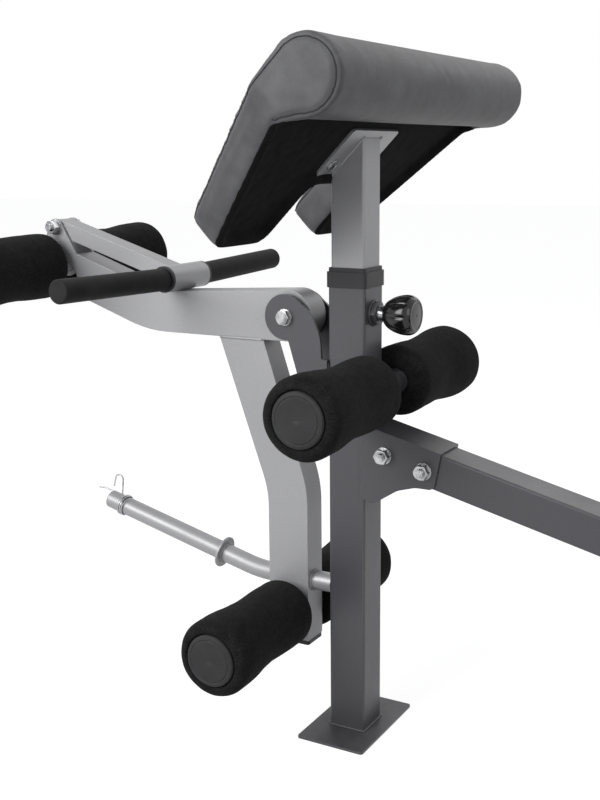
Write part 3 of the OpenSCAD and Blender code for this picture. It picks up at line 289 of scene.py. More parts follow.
def bump(tree, height, strength, distance, normal=None):
    made = add_node(tree, "ShaderNodeBump", [
        ("Height", height), ("Strength", strength), ("Distance", distance)])
    if normal is not None:
        tree.links.new(normal, made.inputs["Normal"])
    return made.outputs[0]


def painted(name, base, light, worn, roughness, metallic):
    material, tree, surface = start_material(name, Metallic=metallic, Coat_Weight=0.12, Coat_Roughness=0.25)
    flake = use_effect(tree, paint_flake, Scale=1500.0)
    wear = use_effect(tree, edge_wear, Radius=0.0011, Amount=0.55)
    settled = use_effect(tree, dust, Amount=0.10)
    colour = mix(tree, product(tree, flake["Shade"], 0.5), seen(base), seen(light))
    colour = mix(tree, product(tree, flake["Cloud"], 0.12), colour, seen(base))
    colour = mix(tree, wear["Mask"], colour, seen(worn))
    colour = mix(tree, settled["Mask"], colour, seen(DUST_ON_PAINT))
    tree.links.new(colour, surface.inputs["Base Color"])
    tree.links.new(spread(tree, flake["Cloud"], 0.0, 1.0, roughness - 0.05, roughness + 0.07),
                   surface.inputs["Roughness"])
    tree.links.new(bump(tree, flake["Height"], 0.22, 0.0004, wear["Normal"]), surface.inputs["Normal"])
    return material


charcoal_paint = painted("charcoal_paint", "#414145", "#515156", "#828285", roughness=0.42, metallic=0.25)
silver_paint = painted("silver_paint", "#969698", "#aeaeb0", "#c8c8c9", roughness=0.42, metallic=0.25)


def metal(name, base, light, roughness):
    material, tree, surface = start_material(name, Metallic=1.0)
    place = object_place(tree)
    cloud = spread(tree, noise(tree, place, 90.0, 4.0, 0.6), 0.3, 0.7)
    wear = use_effect(tree, edge_wear, Radius=0.0006, Amount=0.6)
    colour = mix(tree, cloud, seen(base), seen(light))
    colour = mix(tree, wear["Mask"], colour, seen(BARE_ZINC))
    tree.links.new(colour, surface.inputs["Base Color"])
    tree.links.new(spread(tree, cloud, 0.0, 1.0, roughness, roughness + 0.12), surface.inputs["Roughness"])
    tree.links.new(bump(tree, noise(tree, place, 1400.0, 2.0), 0.12, 0.0002, wear["Normal"]),
                   surface.inputs["Normal"])
    return material


bright_zinc = metal("bright_zinc", "#7f8083", "#c4c4c6", roughness=0.20)


def moulded(name, base, light, roughness, grain, depth, gloss):
    material, tree, surface = start_material(name, Specular_IOR_Level=gloss)
    place = object_place(tree)
    fine = noise(tree, place, grain, 3.0, 0.6)
    cloud = spread(tree, noise(tree, place, 24.0, 4.0, 0.6), 0.3, 0.7)
    wear = use_effect(tree, edge_wear, Radius=0.0008, Amount=0.35)
    settled = use_effect(tree, dust, Amount=0.06)
    colour = mix(tree, cloud, seen(base), seen(light))
    colour = mix(tree, wear["Mask"], colour, seen(SCUFFED_PLASTIC))
    colour = mix(tree, settled["Mask"], colour, seen(DUST_ON_PLASTIC))
    tree.links.new(colour, surface.inputs["Base Color"])
    tree.links.new(spread(tree, cloud, 0.0, 1.0, roughness, roughness + 0.10), surface.inputs["Roughness"])
    tree.links.new(bump(tree, fine, 0.3, depth, wear["Normal"]), surface.inputs["Normal"])
    return material


collar_plastic = moulded("collar_plastic", "#2a2a2c", "#343436",
                         roughness=0.38, grain=700.0, depth=0.0003, gloss=0.25)
knob_plastic = moulded("knob_plastic", "#0e0e0f", "#161617",
                       roughness=0.13, grain=300.0, depth=0.00005, gloss=0.45)
cap_plastic = moulded("cap_plastic", "#2b2b2c", "#373738",
                      roughness=0.50, grain=1100.0, depth=0.0004, gloss=0.15)
grip_rubber = moulded("grip_rubber", "#1f1f20", "#2e2e2f",
                      roughness=0.62, grain=900.0, depth=0.0006, gloss=0.1)
stop_rubber = moulded("stop_rubber", "#161617", "#202021",
                      roughness=0.66, grain=900.0, depth=0.0005, gloss=0.1)


def make_foam_skin():
    material, tree, surface = start_material("foam_skin", Sheen_Weight=0.02, Sheen_Roughness=0.6,
                                             Specular_IOR_Level=0.05)
    skin = use_effect(tree, knit, Scale=620.0)
    tree.links.new(mix(tree, skin["Shade"], seen("#0a0a0a"), seen("#2a2a2b")), surface.inputs["Base Color"])
    tree.links.new(spread(tree, skin["Shade"], 0.0, 1.0, 0.78, 0.95), surface.inputs["Roughness"])
    tree.links.new(bump(tree, skin["Height"], 0.75, 0.0012), surface.inputs["Normal"])
    return material


def make_vinyl(name, base, light):
    material, tree, surface = start_material(name, Specular_IOR_Level=0.25)
    grain = use_effect(tree, vinyl_grain, Scale=720.0)
    settled = use_effect(tree, dust, Amount=0.07)
    colour = mix(tree, grain["Shade"], seen(base), seen(light))
    colour = mix(tree, settled["Mask"], colour, seen(DUST_ON_VINYL))
    tree.links.new(colour, surface.inputs["Base Color"])
    tree.links.new(spread(tree, grain["Height"], 0.0, 1.0, 0.56, 0.44), surface.inputs["Roughness"])
    creased = bump(tree, grain["Crease"], 0.35, 0.004)
    tree.links.new(bump(tree, grain["Height"], 0.35, 0.00025, creased), surface.inputs["Normal"])
    return material


def make_cloth(name, base, light, scale):
    material, tree, surface = start_material(name, Specular_IOR_Level=0.05)
    cloth = use_effect(tree, weave, Scale=scale)
    tree.links.new(mix(tree, cloth["Shade"], seen(base), seen(light)), surface.inputs["Base Color"])
    tree.links.new(spread(tree, cloth["Height"], 0.0, 1.0, 0.95, 0.82), surface.inputs["Roughness"])
    tree.links.new(bump(tree, cloth["Height"], 0.5, 0.0004), surface.inputs["Normal"])
    return material


foam_skin = make_foam_skin()
grey_vinyl = make_vinyl("grey_vinyl", "#4a4a4c", "#5c5c5f")
black_cloth = make_cloth("black_cloth", "#19191a", "#262627", scale=300.0)
seam_thread = make_cloth("seam_thread", "#3d3d40", "#4a4a4d", scale=900.0)


# Dressing the solids that stay in view
def dress(material, *names):
    for name in names:
        for held in nodes[name].material_slots:
            held.material = material


dress(charcoal_paint, "front_upright", "foot_plate", "pivot_bracket", "plunger_nut", "rail_bracket",
      "main_rail", "rear_foot", "rear_saddle", "seat_post", "seat_frame", "back_frame", "upper_roller_tube")
dress(silver_paint, "lever_beam", "lever_arm", "lever_lugs", "weight_horn", "horn_flange",
      "horn_end_plug", "front_roller_tube", "lower_roller_tube", "curl_arm", "curl_sleeve", "curl_bar",
      "preacher_post", "preacher_plate")
dress(bright_zinc, "pivot_bolt", "plunger_barrel", "lock_pin", "rail_bolts", "curl_pivot_bolt",
      "preacher_bolts", "seat_screws", "back_hinge_bolt", "back_lock_pin", "back_screws")
dress(collar_plastic, "upright_collar", "frame_end_plugs", "lever_end_plugs", "pivot_bushes",
      "sleeve_bushes")
dress(cap_plastic, "upper_end_caps", "lever_end_caps")
dress(grip_rubber, "curl_grips")
dress(stop_rubber, "stop_bumper")
dress(black_cloth, "preacher_board", "seat_board", "back_board")


# Helpers for making pieces
def nothing_selected():
    bpy.ops.object.select_all(action="DESELECT")


def take(piece):
    nothing_selected()
    piece.select_set(True)
    bpy.context.view_layer.objects.active = piece


def place_in_mesh(piece):
    take(piece)
    bpy.ops.object.transform_apply(location=True, rotation=True, scale=True)


def apply_modifier(piece, kind, **values):
    take(piece)
    made = piece.modifiers.new(kind.lower(), kind)
    for key, value in values.items():
        setattr(made, key, value)
    bpy.ops.object.modifier_apply(modifier=made.name)


def tidy_normals(piece):
    take(piece)
    bpy.ops.object.mode_set(mode="EDIT")
    bpy.ops.mesh.select_all(action="SELECT")
    bpy.ops.mesh.remove_doubles(threshold=1e-5)
    bpy.ops.mesh.normals_make_consistent(inside=False)
    bpy.ops.object.mode_set(mode="OBJECT")


def smooth(piece, angle=None):
    take(piece)
    if angle is None:
        bpy.ops.object.shade_smooth()
    else:
        bpy.ops.object.shade_smooth_by_angle(angle=math.radians(angle))


def set_points(piece, places):
    piece.data.vertices.foreach_set("co", [c for co in places for c in co])
    piece.data.update()


def move_points(piece, where):
    """Moves every point of a mesh to where(place, normal) says."""
    normals = [v.normal.copy() for v in piece.data.vertices]
    set_points(piece, [where(v.co.copy(), normal) for v, normal in zip(piece.data.vertices, normals)])


def linked(name, data):
    piece = bpy.data.objects.new(name, data)
    bpy.context.scene.collection.objects.link(piece)
    return piece


def finish_piece(piece, name, body, material, slot, *replaced):
    """Names and dresses a piece and says where it rides; a blended piece has no body of its own."""
    piece.name = name
    piece.data.name = name
    piece.data.materials.clear()
    piece.data.materials.append(material)
    if body:
        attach(piece, body)
    if replaced:
        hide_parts(*replaced)
    return piece


def tube_piece(lines, width, sides=2, closed=False, swell=None):
    """A round tube along each line of points, made a mesh."""
    curve = bpy.data.curves.new("line", "CURVE")
    curve.dimensions = "3D"
    curve.bevel_depth = width
    curve.bevel_resolution = sides
    curve.use_fill_caps = not closed
    for line in lines:
        spline = curve.splines.new("POLY")
        spline.points.add(len(line) - 1)
        spline.use_cyclic_u = closed
        for i, (point, place) in enumerate(zip(spline.points, line)):
            point.co = (*place, 1)
            if swell:
                point.radius = swell(i)
    take(linked("line", curve))
    bpy.ops.object.convert(target="MESH")
    piece = bpy.context.view_layer.objects.active
    tidy_normals(piece)
    smooth(piece)
    return piece


def resample(line, step, closed=False):
    line = [Vector(p) for p in line] + ([Vector(line[0])] if closed else [])
    out, left = [line[0]], step
    for a, b in zip(line, line[1:]):
        length = (b - a).length
        while length > 1e-9 and left <= length:
            out.append(a + (b - a) * (left / length))
            left += step
        left -= length
    if closed and (out[-1] - out[0]).length < step * 0.5:
        out.pop()
    return out


def smooth_line(points, steps):
    """A soft curve through the points."""
    pts = [Vector(p) for p in points]
    pts = [pts[0] * 2 - pts[1]] + pts + [pts[-1] * 2 - pts[-2]]
    out = []
    for a, b, c, d in zip(pts, pts[1:], pts[2:], pts[3:]):
        for k in range(steps):
            t = k / steps
            out.append(0.5 * (2 * b + (c - a) * t + (2 * a - 5 * b + 4 * c - d) * t * t
                              + (3 * b - a - 3 * c + d) * t ** 3))
    return out + [pts[-2]]


def on_pad(s, y, t):
    """A place s mm down the pad from the roll's middle and t mm above the post's plate."""
    return Vector((ROLL_X - PAD_SLANT * (s + t) * MM, y * MM, ROLL_Z + PAD_SLANT * (t - s) * MM))


def on_horn(x, y, z):
    """A place z mm out along the horn from its bend, x mm above its axis."""
    return HORN_BEND + (HORN_UP * x + Vector((0, y, 0)) + HORN_AHEAD * z) * MM


def arc(degrees):
    return [math.radians(d) for d in degrees]


def between(value, low, high):
    return min(max(value, low), high)


def outline(corners, steps=8):
    """Rounded corners (x, y, radius) of a plan outline, in millimetres."""
    out = []
    for i, (x, y, radius) in enumerate(corners):
        here = Vector((x, y))
        before = Vector(corners[i - 1][:2]) - here
        after = Vector(corners[(i + 1) % len(corners)][:2]) - here
        if radius == 0:
            out.append(here)
            continue
        half = before.angle(after) / 2
        reach = min(radius / math.tan(half), 0.48 * min(before.length, after.length))
        first, last = here + before.normalized() * reach, here + after.normalized() * reach
        for k in range(steps + 1):
            t = k / steps
            out.append((first * (1 - t) ** 2 + here * 2 * t * (1 - t) + last * t * t))
    return out


# Foam rollers
FOAM_OUTER_R, FOAM_WAIST_R, FOAM_INNER_R = 49, 43.6, 45.4
FOAM_BORE_R = 12.75
FOAM_LIP, FOAM_LIP_R, FOAM_RECESS = 13.5, 36.0, 4.6
FOAM_SWELL_AT, FOAM_WAIST_AT, FOAM_INNER_AT = 22, 98, 149.6
FOAM_INNER_ROUND, FOAM_INNER_END = 14, 13.6
FOAM_ROWS, FOAM_SIDES = 22, 80

# Lumps of the outer skin, in metres: size and height, and the radius and depth over which they come in
LUMP_SIZE, LUMP_HEIGHT = 0.045, 0.0022
LUMPS_FROM, LUMPS_OVER = 0.0345, 0.009
LUMPS_LEVEL = 0.62

# Label, axle, distance of the outer end from the bench's middle, and length
FOAMS = [("upper", UPPER_AXLE, 213, 181), ("front", FRONT_AXLE, 202, 177), ("lower", LOWER_AXLE, 207, 181)]


def foam_radius(u):
    def eased(a, b, t):
        return a + (b - a) * (1 - math.cos(math.pi * between(t, 0, 1))) / 2
    if u < FOAM_WAIST_AT:
        return eased(FOAM_OUTER_R, FOAM_WAIST_R, (u - FOAM_SWELL_AT) / (FOAM_WAIST_AT - FOAM_SWELL_AT))
    return eased(FOAM_WAIST_R, FOAM_INNER_R, (u - FOAM_WAIST_AT) / (FOAM_INNER_AT - FOAM_WAIST_AT))


def foam_profile(length):
    """Radius and distance from the outer end, from the bore round the outside and back."""
    rows = [(radius, FOAM_RECESS) for radius in (FOAM_BORE_R, 24, 33.2)] + [(33.6, 3.0), (34.2, 0.9)]
    rows += [(FOAM_LIP_R + (FOAM_OUTER_R - FOAM_LIP_R) * math.sin(a), FOAM_LIP * (1 - math.cos(a)))
             for a in arc(range(6, 91, 12))]
    straight = length - FOAM_LIP - FOAM_INNER_ROUND
    places = [FOAM_LIP + straight * k / FOAM_ROWS for k in range(1, FOAM_ROWS + 1)]
    rows += [(foam_radius(u), u) for u in places]
    rows += [(FOAM_INNER_R - FOAM_INNER_ROUND * (1 - math.cos(a)),
              length - FOAM_INNER_ROUND + FOAM_INNER_END * math.sin(a))
             for a in arc((12, 26, 40, 54, 68, 80))]
    return rows + [(30, length), (20, length - 0.2), (FOAM_BORE_R, length - 1)]


def turned(rows, sides):
    """A ring drawn out along Y through rows of (radius, place), in millimetres, back to its start."""
    bpy.ops.mesh.primitive_circle_add(vertices=sides, radius=rows[0][0] * MM, fill_type="NOTHING",
                                      location=(0, rows[0][1] * MM, 0), rotation=(math.pi / 2, 0, 0))
    piece = bpy.context.view_layer.objects.active
    place_in_mesh(piece)
    bpy.ops.object.mode_set(mode="EDIT")
    bpy.ops.mesh.select_all(action="SELECT")
    for (before, here), (radius, along) in zip(rows, rows[1:] + rows[:1]):
        bpy.ops.mesh.extrude_region_move(TRANSFORM_OT_translate={"value": (0, (along - here) * MM, 0)})
        grown = radius / before
        bpy.ops.transform.resize(value=(grown, 1, grown), center_override=(0, along * MM, 0))
    bpy.ops.object.mode_set(mode="OBJECT")
    tidy_normals(piece)
    return piece


def uneven(piece, seed):
    """Soft lumps on the outer skin, as pressed foam has."""
    clouds = bpy.data.textures.new("lumps", "CLOUDS")
    clouds.noise_scale = LUMP_SIZE
    clouds.noise_depth = 2
    outside = piece.vertex_groups.new(name="outside")
    for v in piece.data.vertices:
        out = math.hypot(v.co.x, v.co.z)
        outside.add([v.index], between((out - LUMPS_FROM) / LUMPS_OVER, 0, 1), "REPLACE")
    piece.data.transform(Matrix.Translation((0, seed, 0)))
    apply_modifier(piece, "DISPLACE", texture=clouds, strength=LUMP_HEIGHT, mid_level=LUMPS_LEVEL,
                   texture_coords="LOCAL", vertex_group="outside")
    piece.data.transform(Matrix.Translation((0, -seed, 0)))
    piece.vertex_groups.clear()


def make_foam_rollers():
    for order, (label, axle, outer, length) in enumerate(FOAMS):
        for side, word in ((-1, "near"), (1, "far")):
            piece = turned(foam_profile(length), FOAM_SIDES)
            apply_modifier(piece, "SUBSURF", levels=1, render_levels=1)
            uneven(piece, 1.3 * order + 0.37 * side)
            piece.data.transform(Matrix.Rotation(0.9 * order + 0.4 * side, 4, "Y"))
            if side == 1:
                piece.data.transform(Matrix.Rotation(math.pi, 4, "Z"))
            piece.data.transform(Matrix.Translation(axle + Vector((0, side * outer * MM, 0))))
            smooth(piece, 50)
            finish_piece(piece, f"{label}_foam_roller_{word}", f"{label}_roller_{word}", foam_skin, "foam",
                         f"{label}_foam_{word}")


make_foam_rollers()


# Fluted knob

# Radius and place along the knob, in millimetres, from the mouth of its hollow round to the hollow's end
KNOB_PROFILE = [
    (8.8, 0.6), (10.0, 1.2), (13.2, 3.2), (16.2, 6.6), (18.6, 11.0), (20.4, 16.0), (21.8, 21.5),
    (22.6, 27.0), (22.2, 31.5), (20.8, 35.2), (18.6, 37.8), (16.8, 38.8), (15.6, 38.9), (15.0, 38.2),
    (14.2, 38.1), (10.0, 38.5), (5.0, 38.7), (1.0, 38.75), (0.1, 38.75), (0.1, 23.5), (8.8, 23.5),
]
KNOB_R, KNOB_LENGTH, KNOB_START = 22.6, 38.9, 0.6
KNOB_SIDES = 96
FLUTES = 9
# In metres: the flutes' depth, where they start and end, and how softly they run out at each end
FLUTE_DEPTH = 0.0016
FLUTES_FROM, FLUTES_TO = 0.004, 0.0375
RUN_OUT_FROM, RUN_OUT_TO = 0.010, 0.006
HOLLOW_R = 0.0095


def make_knob():
    low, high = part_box("pull_knob")
    stretch = (high.x - low.x) / (KNOB_LENGTH * MM)
    wide = (high.z - low.z) / 2 / (KNOB_R * MM)
    piece = turned(KNOB_PROFILE, KNOB_SIDES)

    def fluted(co, normal):
        out = math.hypot(co.x, co.z)
        if out < HOLLOW_R:
            return co
        held = between((co.y - FLUTES_FROM) / RUN_OUT_FROM, 0, 1)
        held *= between((FLUTES_TO - co.y) / RUN_OUT_TO, 0, 1)
        groove = max(0.0, math.cos(FLUTES * math.atan2(co.z, co.x))) ** 6
        return co - Vector((co.x, 0, co.z)) * (FLUTE_DEPTH * groove * held / out)
    move_points(piece, fluted)
    apply_modifier(piece, "SUBSURF", levels=1, render_levels=1)
    piece.data.transform(Matrix.Diagonal((wide, stretch, wide, 1)))
    piece.data.transform(Matrix.Rotation(-math.pi / 2, 4, "Z"))
    piece.data.transform(Matrix.Translation((low.x - KNOB_START * MM * stretch, 0, (low.z + high.z) / 2)))
    smooth(piece, 35)
    finish_piece(piece, "fluted_knob", "pull_pin", knob_plastic, "black_plastic", "pull_knob")


# Padded vinyl
COVER = {"quality": 5, "mass": 0.3, "tension_stiffness": 12, "compression_stiffness": 12,
         "bending_stiffness": 0.6, "use_pressure": True, "vertex_group_mass": "held"}
COVER_STEPS = 20
MOST_INWARD = 0.0003


def inflate(piece, held, pressure, most):
    """Presses the cover outwards by cloth simulation, with no point moving further than most."""
    group = piece.vertex_groups.new(name="held")
    start = [v.co.copy() for v in piece.data.vertices]
    facing = [v.normal.copy() for v in piece.data.vertices]
    for v in piece.data.vertices:
        weight = held(v.co)
        if weight > 0:
            group.add([v.index], weight, "REPLACE")
    cover = piece.modifiers.new("cover", "CLOTH")
    for key, value in COVER.items():
        setattr(cover.settings, key, value)
    cover.settings.uniform_pressure_force = pressure
    cover.settings.effector_weights.gravity = 0
    cover.point_cache.frame_start, cover.point_cache.frame_end = 1, COVER_STEPS
    scene = bpy.context.scene
    for step in range(1, COVER_STEPS + 1):
        scene.frame_set(step)
    seen_mesh = piece.evaluated_get(bpy.context.evaluated_depsgraph_get()).to_mesh()
    after = [v.co.copy() for v in seen_mesh.vertices]
    piece.modifiers.remove(cover)
    scene.frame_set(1)
    moved = []
    for first, last, normal in zip(start, after, facing):
        shift = last - first
        shift -= normal * min(0.0, shift.dot(normal) + MOST_INWARD)
        moved.append(first + shift * min(1.0, most / max(shift.length, 1e-9)))
    set_points(piece, moved)
    piece.vertex_groups.clear()


def copied_form(node):
    piece = linked(node + "_cover", nodes[node].data.copy())
    piece.data.materials.clear()
    return piece


def covered(piece, voxel, pinned, pressure, most, shrink=0.0):
    """Turns a stuffed form into an even mesh and lets the cover swell over it."""
    tidy_normals(piece)
    apply_modifier(piece, "REMESH", mode="VOXEL", voxel_size=voxel, use_smooth_shade=True)
    apply_modifier(piece, "SMOOTH", factor=0.5, iterations=3)
    move_points(piece, lambda co, normal: co - normal * shrink * (1 - pinned(co)))
    inflate(piece, pinned, pressure, most)
    apply_modifier(piece, "SMOOTH", factor=0.5, iterations=3)
    apply_modifier(piece, "SUBSURF", levels=1, render_levels=1)
    return piece


def snapped(piece, points, lift=0.0):
    """The nearest places on the piece's skin, raised by lift."""
    skin = piece.data
    tree = BVHTree.FromPolygons([v.co for v in skin.vertices], [p.vertices for p in skin.polygons])
    out = []
    for point in points:
        spot, normal, _, _ = tree.find_nearest(point)
        out.append(spot + normal * lift)
    return out


SEAM_STEP = 0.002
SEAM_DEPTH = 0.0016
SEAM_WIDTH = 0.0055
THREAD_R = 0.0007
THREAD_LIFT = 0.0002
GATHER = 0.0006
GATHER_REACH = 0.016
GATHER_PITCH = 5.3


def finder(points):
    tree = KDTree(len(points))
    for i, point in enumerate(points):
        tree.insert(point, i)
    tree.balance()
    return tree


def sew(piece, line):
    """Draws the cover in along a seam, with small gathers beside it."""
    tree = finder(line)

    def drawn(co, normal):
        _, index, far = tree.find(co)
        if far >= GATHER_REACH:
            return co
        wave = math.sin(index / GATHER_PITCH) + 0.6 * math.sin(index / GATHER_PITCH * 2.7 + 1.3)
        rise = GATHER * wave * (far / GATHER_REACH) * (1 - far / GATHER_REACH) * 2
        sunk = SEAM_DEPTH * (1 - (far / SEAM_WIDTH) ** 2) ** 2 if far < SEAM_WIDTH else 0.0
        return co + normal * (rise - sunk)
    move_points(piece, drawn)


def seam(piece, points, name, body, closed):
    line = resample(snapped(piece, points), SEAM_STEP, closed)
    sew(piece, line)
    sewn = tube_piece([snapped(piece, line, THREAD_LIFT)], THREAD_R, 1, closed)
    finish_piece(sewn, name, body, seam_thread, "vinyl")


# Plan of the preacher pad: distance down from the roll's middle, place across, rounding of the corner
PAD_CORNERS = [
    (2, -263, 0), (48, -263, 30), (251, -168, 36), (251, -60, 24), (153.4, -60, 17),
    (153.4, 60, 17), (251, 60, 24), (251, 168, 36), (48, 263, 30), (2, 263, 0),
]
PAD_HALF_W = 263
ROLL_R = 41.4
ROLL_T = 1.8
SLAB_LOW, SLAB_HIGH = 4.2, 43.4
RIM_R, RIM_T, RIM_INSET = 8.0, 2.6, 8.2
GUSSET_R, GUSSET_Y = 8.4, 254.5
END_SEAM_R = 37.8
END_SEAM_OUT = 3
UPPER_SEAM_T = 41


STAPLED_FROM, STAPLED_TOP = 0.043, 0.0175


def pad_place(point):
    """Distance down the pad from the roll's middle, and height above the post's plate, in metres."""
    rel = point - Vector((ROLL_X, 0, ROLL_Z))
    return -(rel.x + rel.z) * PAD_SLANT, (rel.z - rel.x) * PAD_SLANT


def pad_underside(point):
    """1 where the cover is pulled over the board's edge and stapled, which the pressure leaves alone."""
    s, t = pad_place(point)
    return 1.0 if s > STAPLED_FROM and t < STAPLED_TOP else 0.0


# The lining lies on faces further down the pad than its start and lower than its top, in metres. They also
# look down by the share given, or are below its level and further in from the edge than the reach, in mm
LINING_FROM, LINING_TOP, LINING_LEVEL = 0.047, 0.012, 0.0052
LINING_FACING, LINING_REACH = 0.55, 7.5
LINING_T = 0.0008
EDGE_EASING = 16


def make_lining(cushion):
    """Black cloth over the turned-in rim, up to the board, with an eased edge."""
    piece = cushion.copy()
    piece.data = cushion.data.copy()
    bpy.context.scene.collection.objects.link(piece)
    edge = finder(resample([Vector((p.x, p.y, 0)) for p in outline(PAD_CORNERS)], 3.0, True))
    down = (on_pad(0, 0, 0) - on_pad(0, 0, 1)).normalized()
    mesh = bmesh.new()
    mesh.from_mesh(piece.data)

    def lined(face):
        centre = face.calc_center_median()
        s, t = pad_place(centre)
        inward = edge.find(Vector((s / MM, centre.y / MM, 0)))[2] > LINING_REACH and t < LINING_LEVEL
        return s > LINING_FROM and t < LINING_TOP and (face.normal.dot(down) > LINING_FACING or inward)
    bmesh.ops.delete(mesh, geom=[face for face in mesh.faces if not lined(face)], context="FACES")
    rim = [v for v in mesh.verts if v.is_boundary]
    for _ in range(EDGE_EASING):
        eased = []
        for v in rim:
            beside = [e.other_vert(v).co for e in v.link_edges if e.is_boundary]
            eased.append((v.co + sum(beside, Vector()) / len(beside)) / 2)
        for v, place in zip(rim, eased):
            v.co = place
    mesh.to_mesh(piece.data)
    mesh.free()
    apply_modifier(piece, "SOLIDIFY", thickness=LINING_T, offset=1.0)
    smooth(piece, 40)
    finish_piece(piece, "preacher_lining", "preacher_pad", black_cloth, "board")


def pad_blank():
    """Slab and roll before covering, with the turned-in rim under the slab and gussets at the roll."""
    plan = outline(PAD_CORNERS)
    count = len(plan)
    slab = bpy.data.meshes.new("slab")
    places = [on_pad(p.x, p.y, t) for t in (SLAB_LOW, SLAB_HIGH) for p in plan]
    faces = [list(range(count)), list(range(2 * count - 1, count - 1, -1))]
    faces += [[i, count + i, count + (i + 1) % count, (i + 1) % count] for i in range(count)]
    slab.from_pydata(places, [], faces)
    piece = linked("slab", slab)
    inside = []
    for i, p in enumerate(plan[1:-1], 1):
        along = (plan[i + 1] - plan[i - 1]).normalized()
        inside.append(p + Vector((along.y, -along.x)) * -RIM_INSET)
    rim = tube_piece([[on_pad(p.x, p.y, RIM_T) for p in inside]], RIM_R * MM, 4)
    parts = [piece, rim]
    for side in (-1, 1):
        gusset = [on_pad(26, side * GUSSET_Y, -20), on_pad(42, side * GUSSET_Y, -7),
                  on_pad(60, side * 251, 4)]
        parts.append(tube_piece([gusset], GUSSET_R * MM, 4))
    bpy.ops.mesh.primitive_cylinder_add(vertices=96, radius=ROLL_R * MM, depth=2 * PAD_HALF_W * MM,
                                        location=on_pad(0, 0, ROLL_T), rotation=(math.pi / 2, 0, 0))
    parts.append(bpy.context.view_layer.objects.active)
    place_in_mesh(parts[-1])
    nothing_selected()
    for part in parts:
        part.select_set(True)
    bpy.context.view_layer.objects.active = piece
    bpy.ops.object.join()
    return piece


def make_preacher_pad():
    piece = covered(pad_blank(), voxel=0.0044, pinned=pad_underside, pressure=2.5, most=0.0035)
    # Each end's seam runs from under the slab round the roll, as distance down the pad and height
    roll = [(58, -7), (50, -9), (44, -13)]
    roll += [(END_SEAM_R * math.cos(a), ROLL_T + END_SEAM_R * math.sin(a))
             for a in arc(range(-36, -271, -6))]
    near = [on_pad(s, -PAD_HALF_W - END_SEAM_OUT, t) for s, t in roll]
    edge = [on_pad(p.x, p.y, UPPER_SEAM_T) for p in outline(PAD_CORNERS)[1:-1]]
    far = [on_pad(s, PAD_HALF_W + END_SEAM_OUT, t) for s, t in reversed(roll)]
    seam(piece, resample(near + edge + far, 0.003), "preacher_pad_seam", "preacher_pad", False)
    smooth(piece)
    finish_piece(piece, "preacher_cushion", "preacher_pad", grey_vinyl, "vinyl", "preacher_pad")
    make_lining(piece)


# Seat and back: half width and corner rounding in plan, and each seam's height above the board
FLAT_PAD_HALF_W, FLAT_PAD_CORNER = 150, 40
FLAT_PAD_SEAMS = [(38.5, "upper"), (13.0, "lower")]
FLAT_PAD_TUCK = 0.012


def flat_underside(point):
    return 1.0 if point.z < FLAT_PAD_LOW + FLAT_PAD_TUCK else 0.0


def make_flat_pad(node, name, body, x0, x1, voxel):
    piece = covered(copied_form(node), voxel, flat_underside, pressure=3.0, most=0.005, shrink=0.0022)
    half, corner = FLAT_PAD_HALF_W, FLAT_PAD_CORNER
    corners = [(x0, -half, corner), (x1, -half, corner), (x1, half, corner), (x0, half, corner)]
    for z, word in FLAT_PAD_SEAMS:
        ring = [Vector((p.x * MM, p.y * MM, FLAT_PAD_LOW + z * MM)) for p in outline(corners)]
        ring = resample(ring, 0.004, True)
        seam(piece, ring, f"{name}_seam_{word}", body, True)
    smooth(piece)
    finish_piece(piece, name, body, grey_vinyl, "vinyl", node)


make_knob()
make_preacher_pad()
make_flat_pad("seat_pad", "seat_cushion", "frame", x0=385, x1=655, voxel=0.005)
make_flat_pad("back_pad", "back_cushion", "backrest", x0=717, x1=1397, voxel=0.006)


# Wires
HORN_R = 12.7
CLIP_AT = 235.7
CLIP_WIRE_R, CLIP_PITCH, CLIP_TURNS, CLIP_SIDES = 1.15, 2.9, 2.5, 24
CLIP_HOOK_R = 6.7
COIL_WIRE_R, COIL_R = 0.0005, 0.0058
COIL_STEPS, COIL_SIDES = 96, 24


def make_clip():
    """A tail along the horn, turns round it, and a finger loop that stands up."""
    radius = (HORN_R + 0.3 + CLIP_WIRE_R) / math.cos(math.pi / CLIP_SIDES)
    half = CLIP_TURNS * CLIP_PITCH / 2
    line = [(1, radius, half + 56), (2.5, radius, half + 50), (4, radius, half + 44), (4, radius, half + 16)]
    line += [(4 * math.cos(a), radius, half + 4 - 4 * math.sin(a)) for a in arc((0, 30, 60))]
    for k in range(int(CLIP_TURNS * CLIP_SIDES) + 1):
        a = math.radians(90 + 360 * k / CLIP_SIDES)
        line.append((radius * math.cos(a), radius * math.sin(a), half - CLIP_PITCH * k / CLIP_SIDES))
    line += [(8, -radius, -half), (40, -radius, 0.6)]
    line += [(42 + CLIP_HOOK_R * math.sin(a), -radius, 7.4 - CLIP_HOOK_R * math.cos(a))
             for a in arc(range(0, 181, 30))]
    line += [(29, -radius, 14.6)]
    points = smooth_line([on_horn(x, y, z + CLIP_AT) for x, y, z in line], 4)
    piece = tube_piece([points], CLIP_WIRE_R * MM, 4)
    finish_piece(piece, "horn_spring_clip", "spring_clip", bright_zinc, "bright_zinc", "spring_clip")


def make_plunger_spring():
    """A coil of wire from the pin to the barrel's cap, with no body of its own."""
    low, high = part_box("plunger_spring")
    start, end = low.x + COIL_WIRE_R, high.x - COIL_WIRE_R
    line = []
    for k in range(COIL_STEPS + 1):
        a = 2 * math.pi * k / COIL_SIDES
        line.append(Vector((start + (end - start) * k / COIL_STEPS, COIL_R * math.cos(a),
                            PLUNGER_Z + COIL_R * math.sin(a))))
    piece = tube_piece([line], COIL_WIRE_R, 2)
    finish_piece(piece, "plunger_coil", None, bright_zinc, "bright_zinc", "plunger_spring")
    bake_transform(piece)


make_clip()
make_plunger_spring()


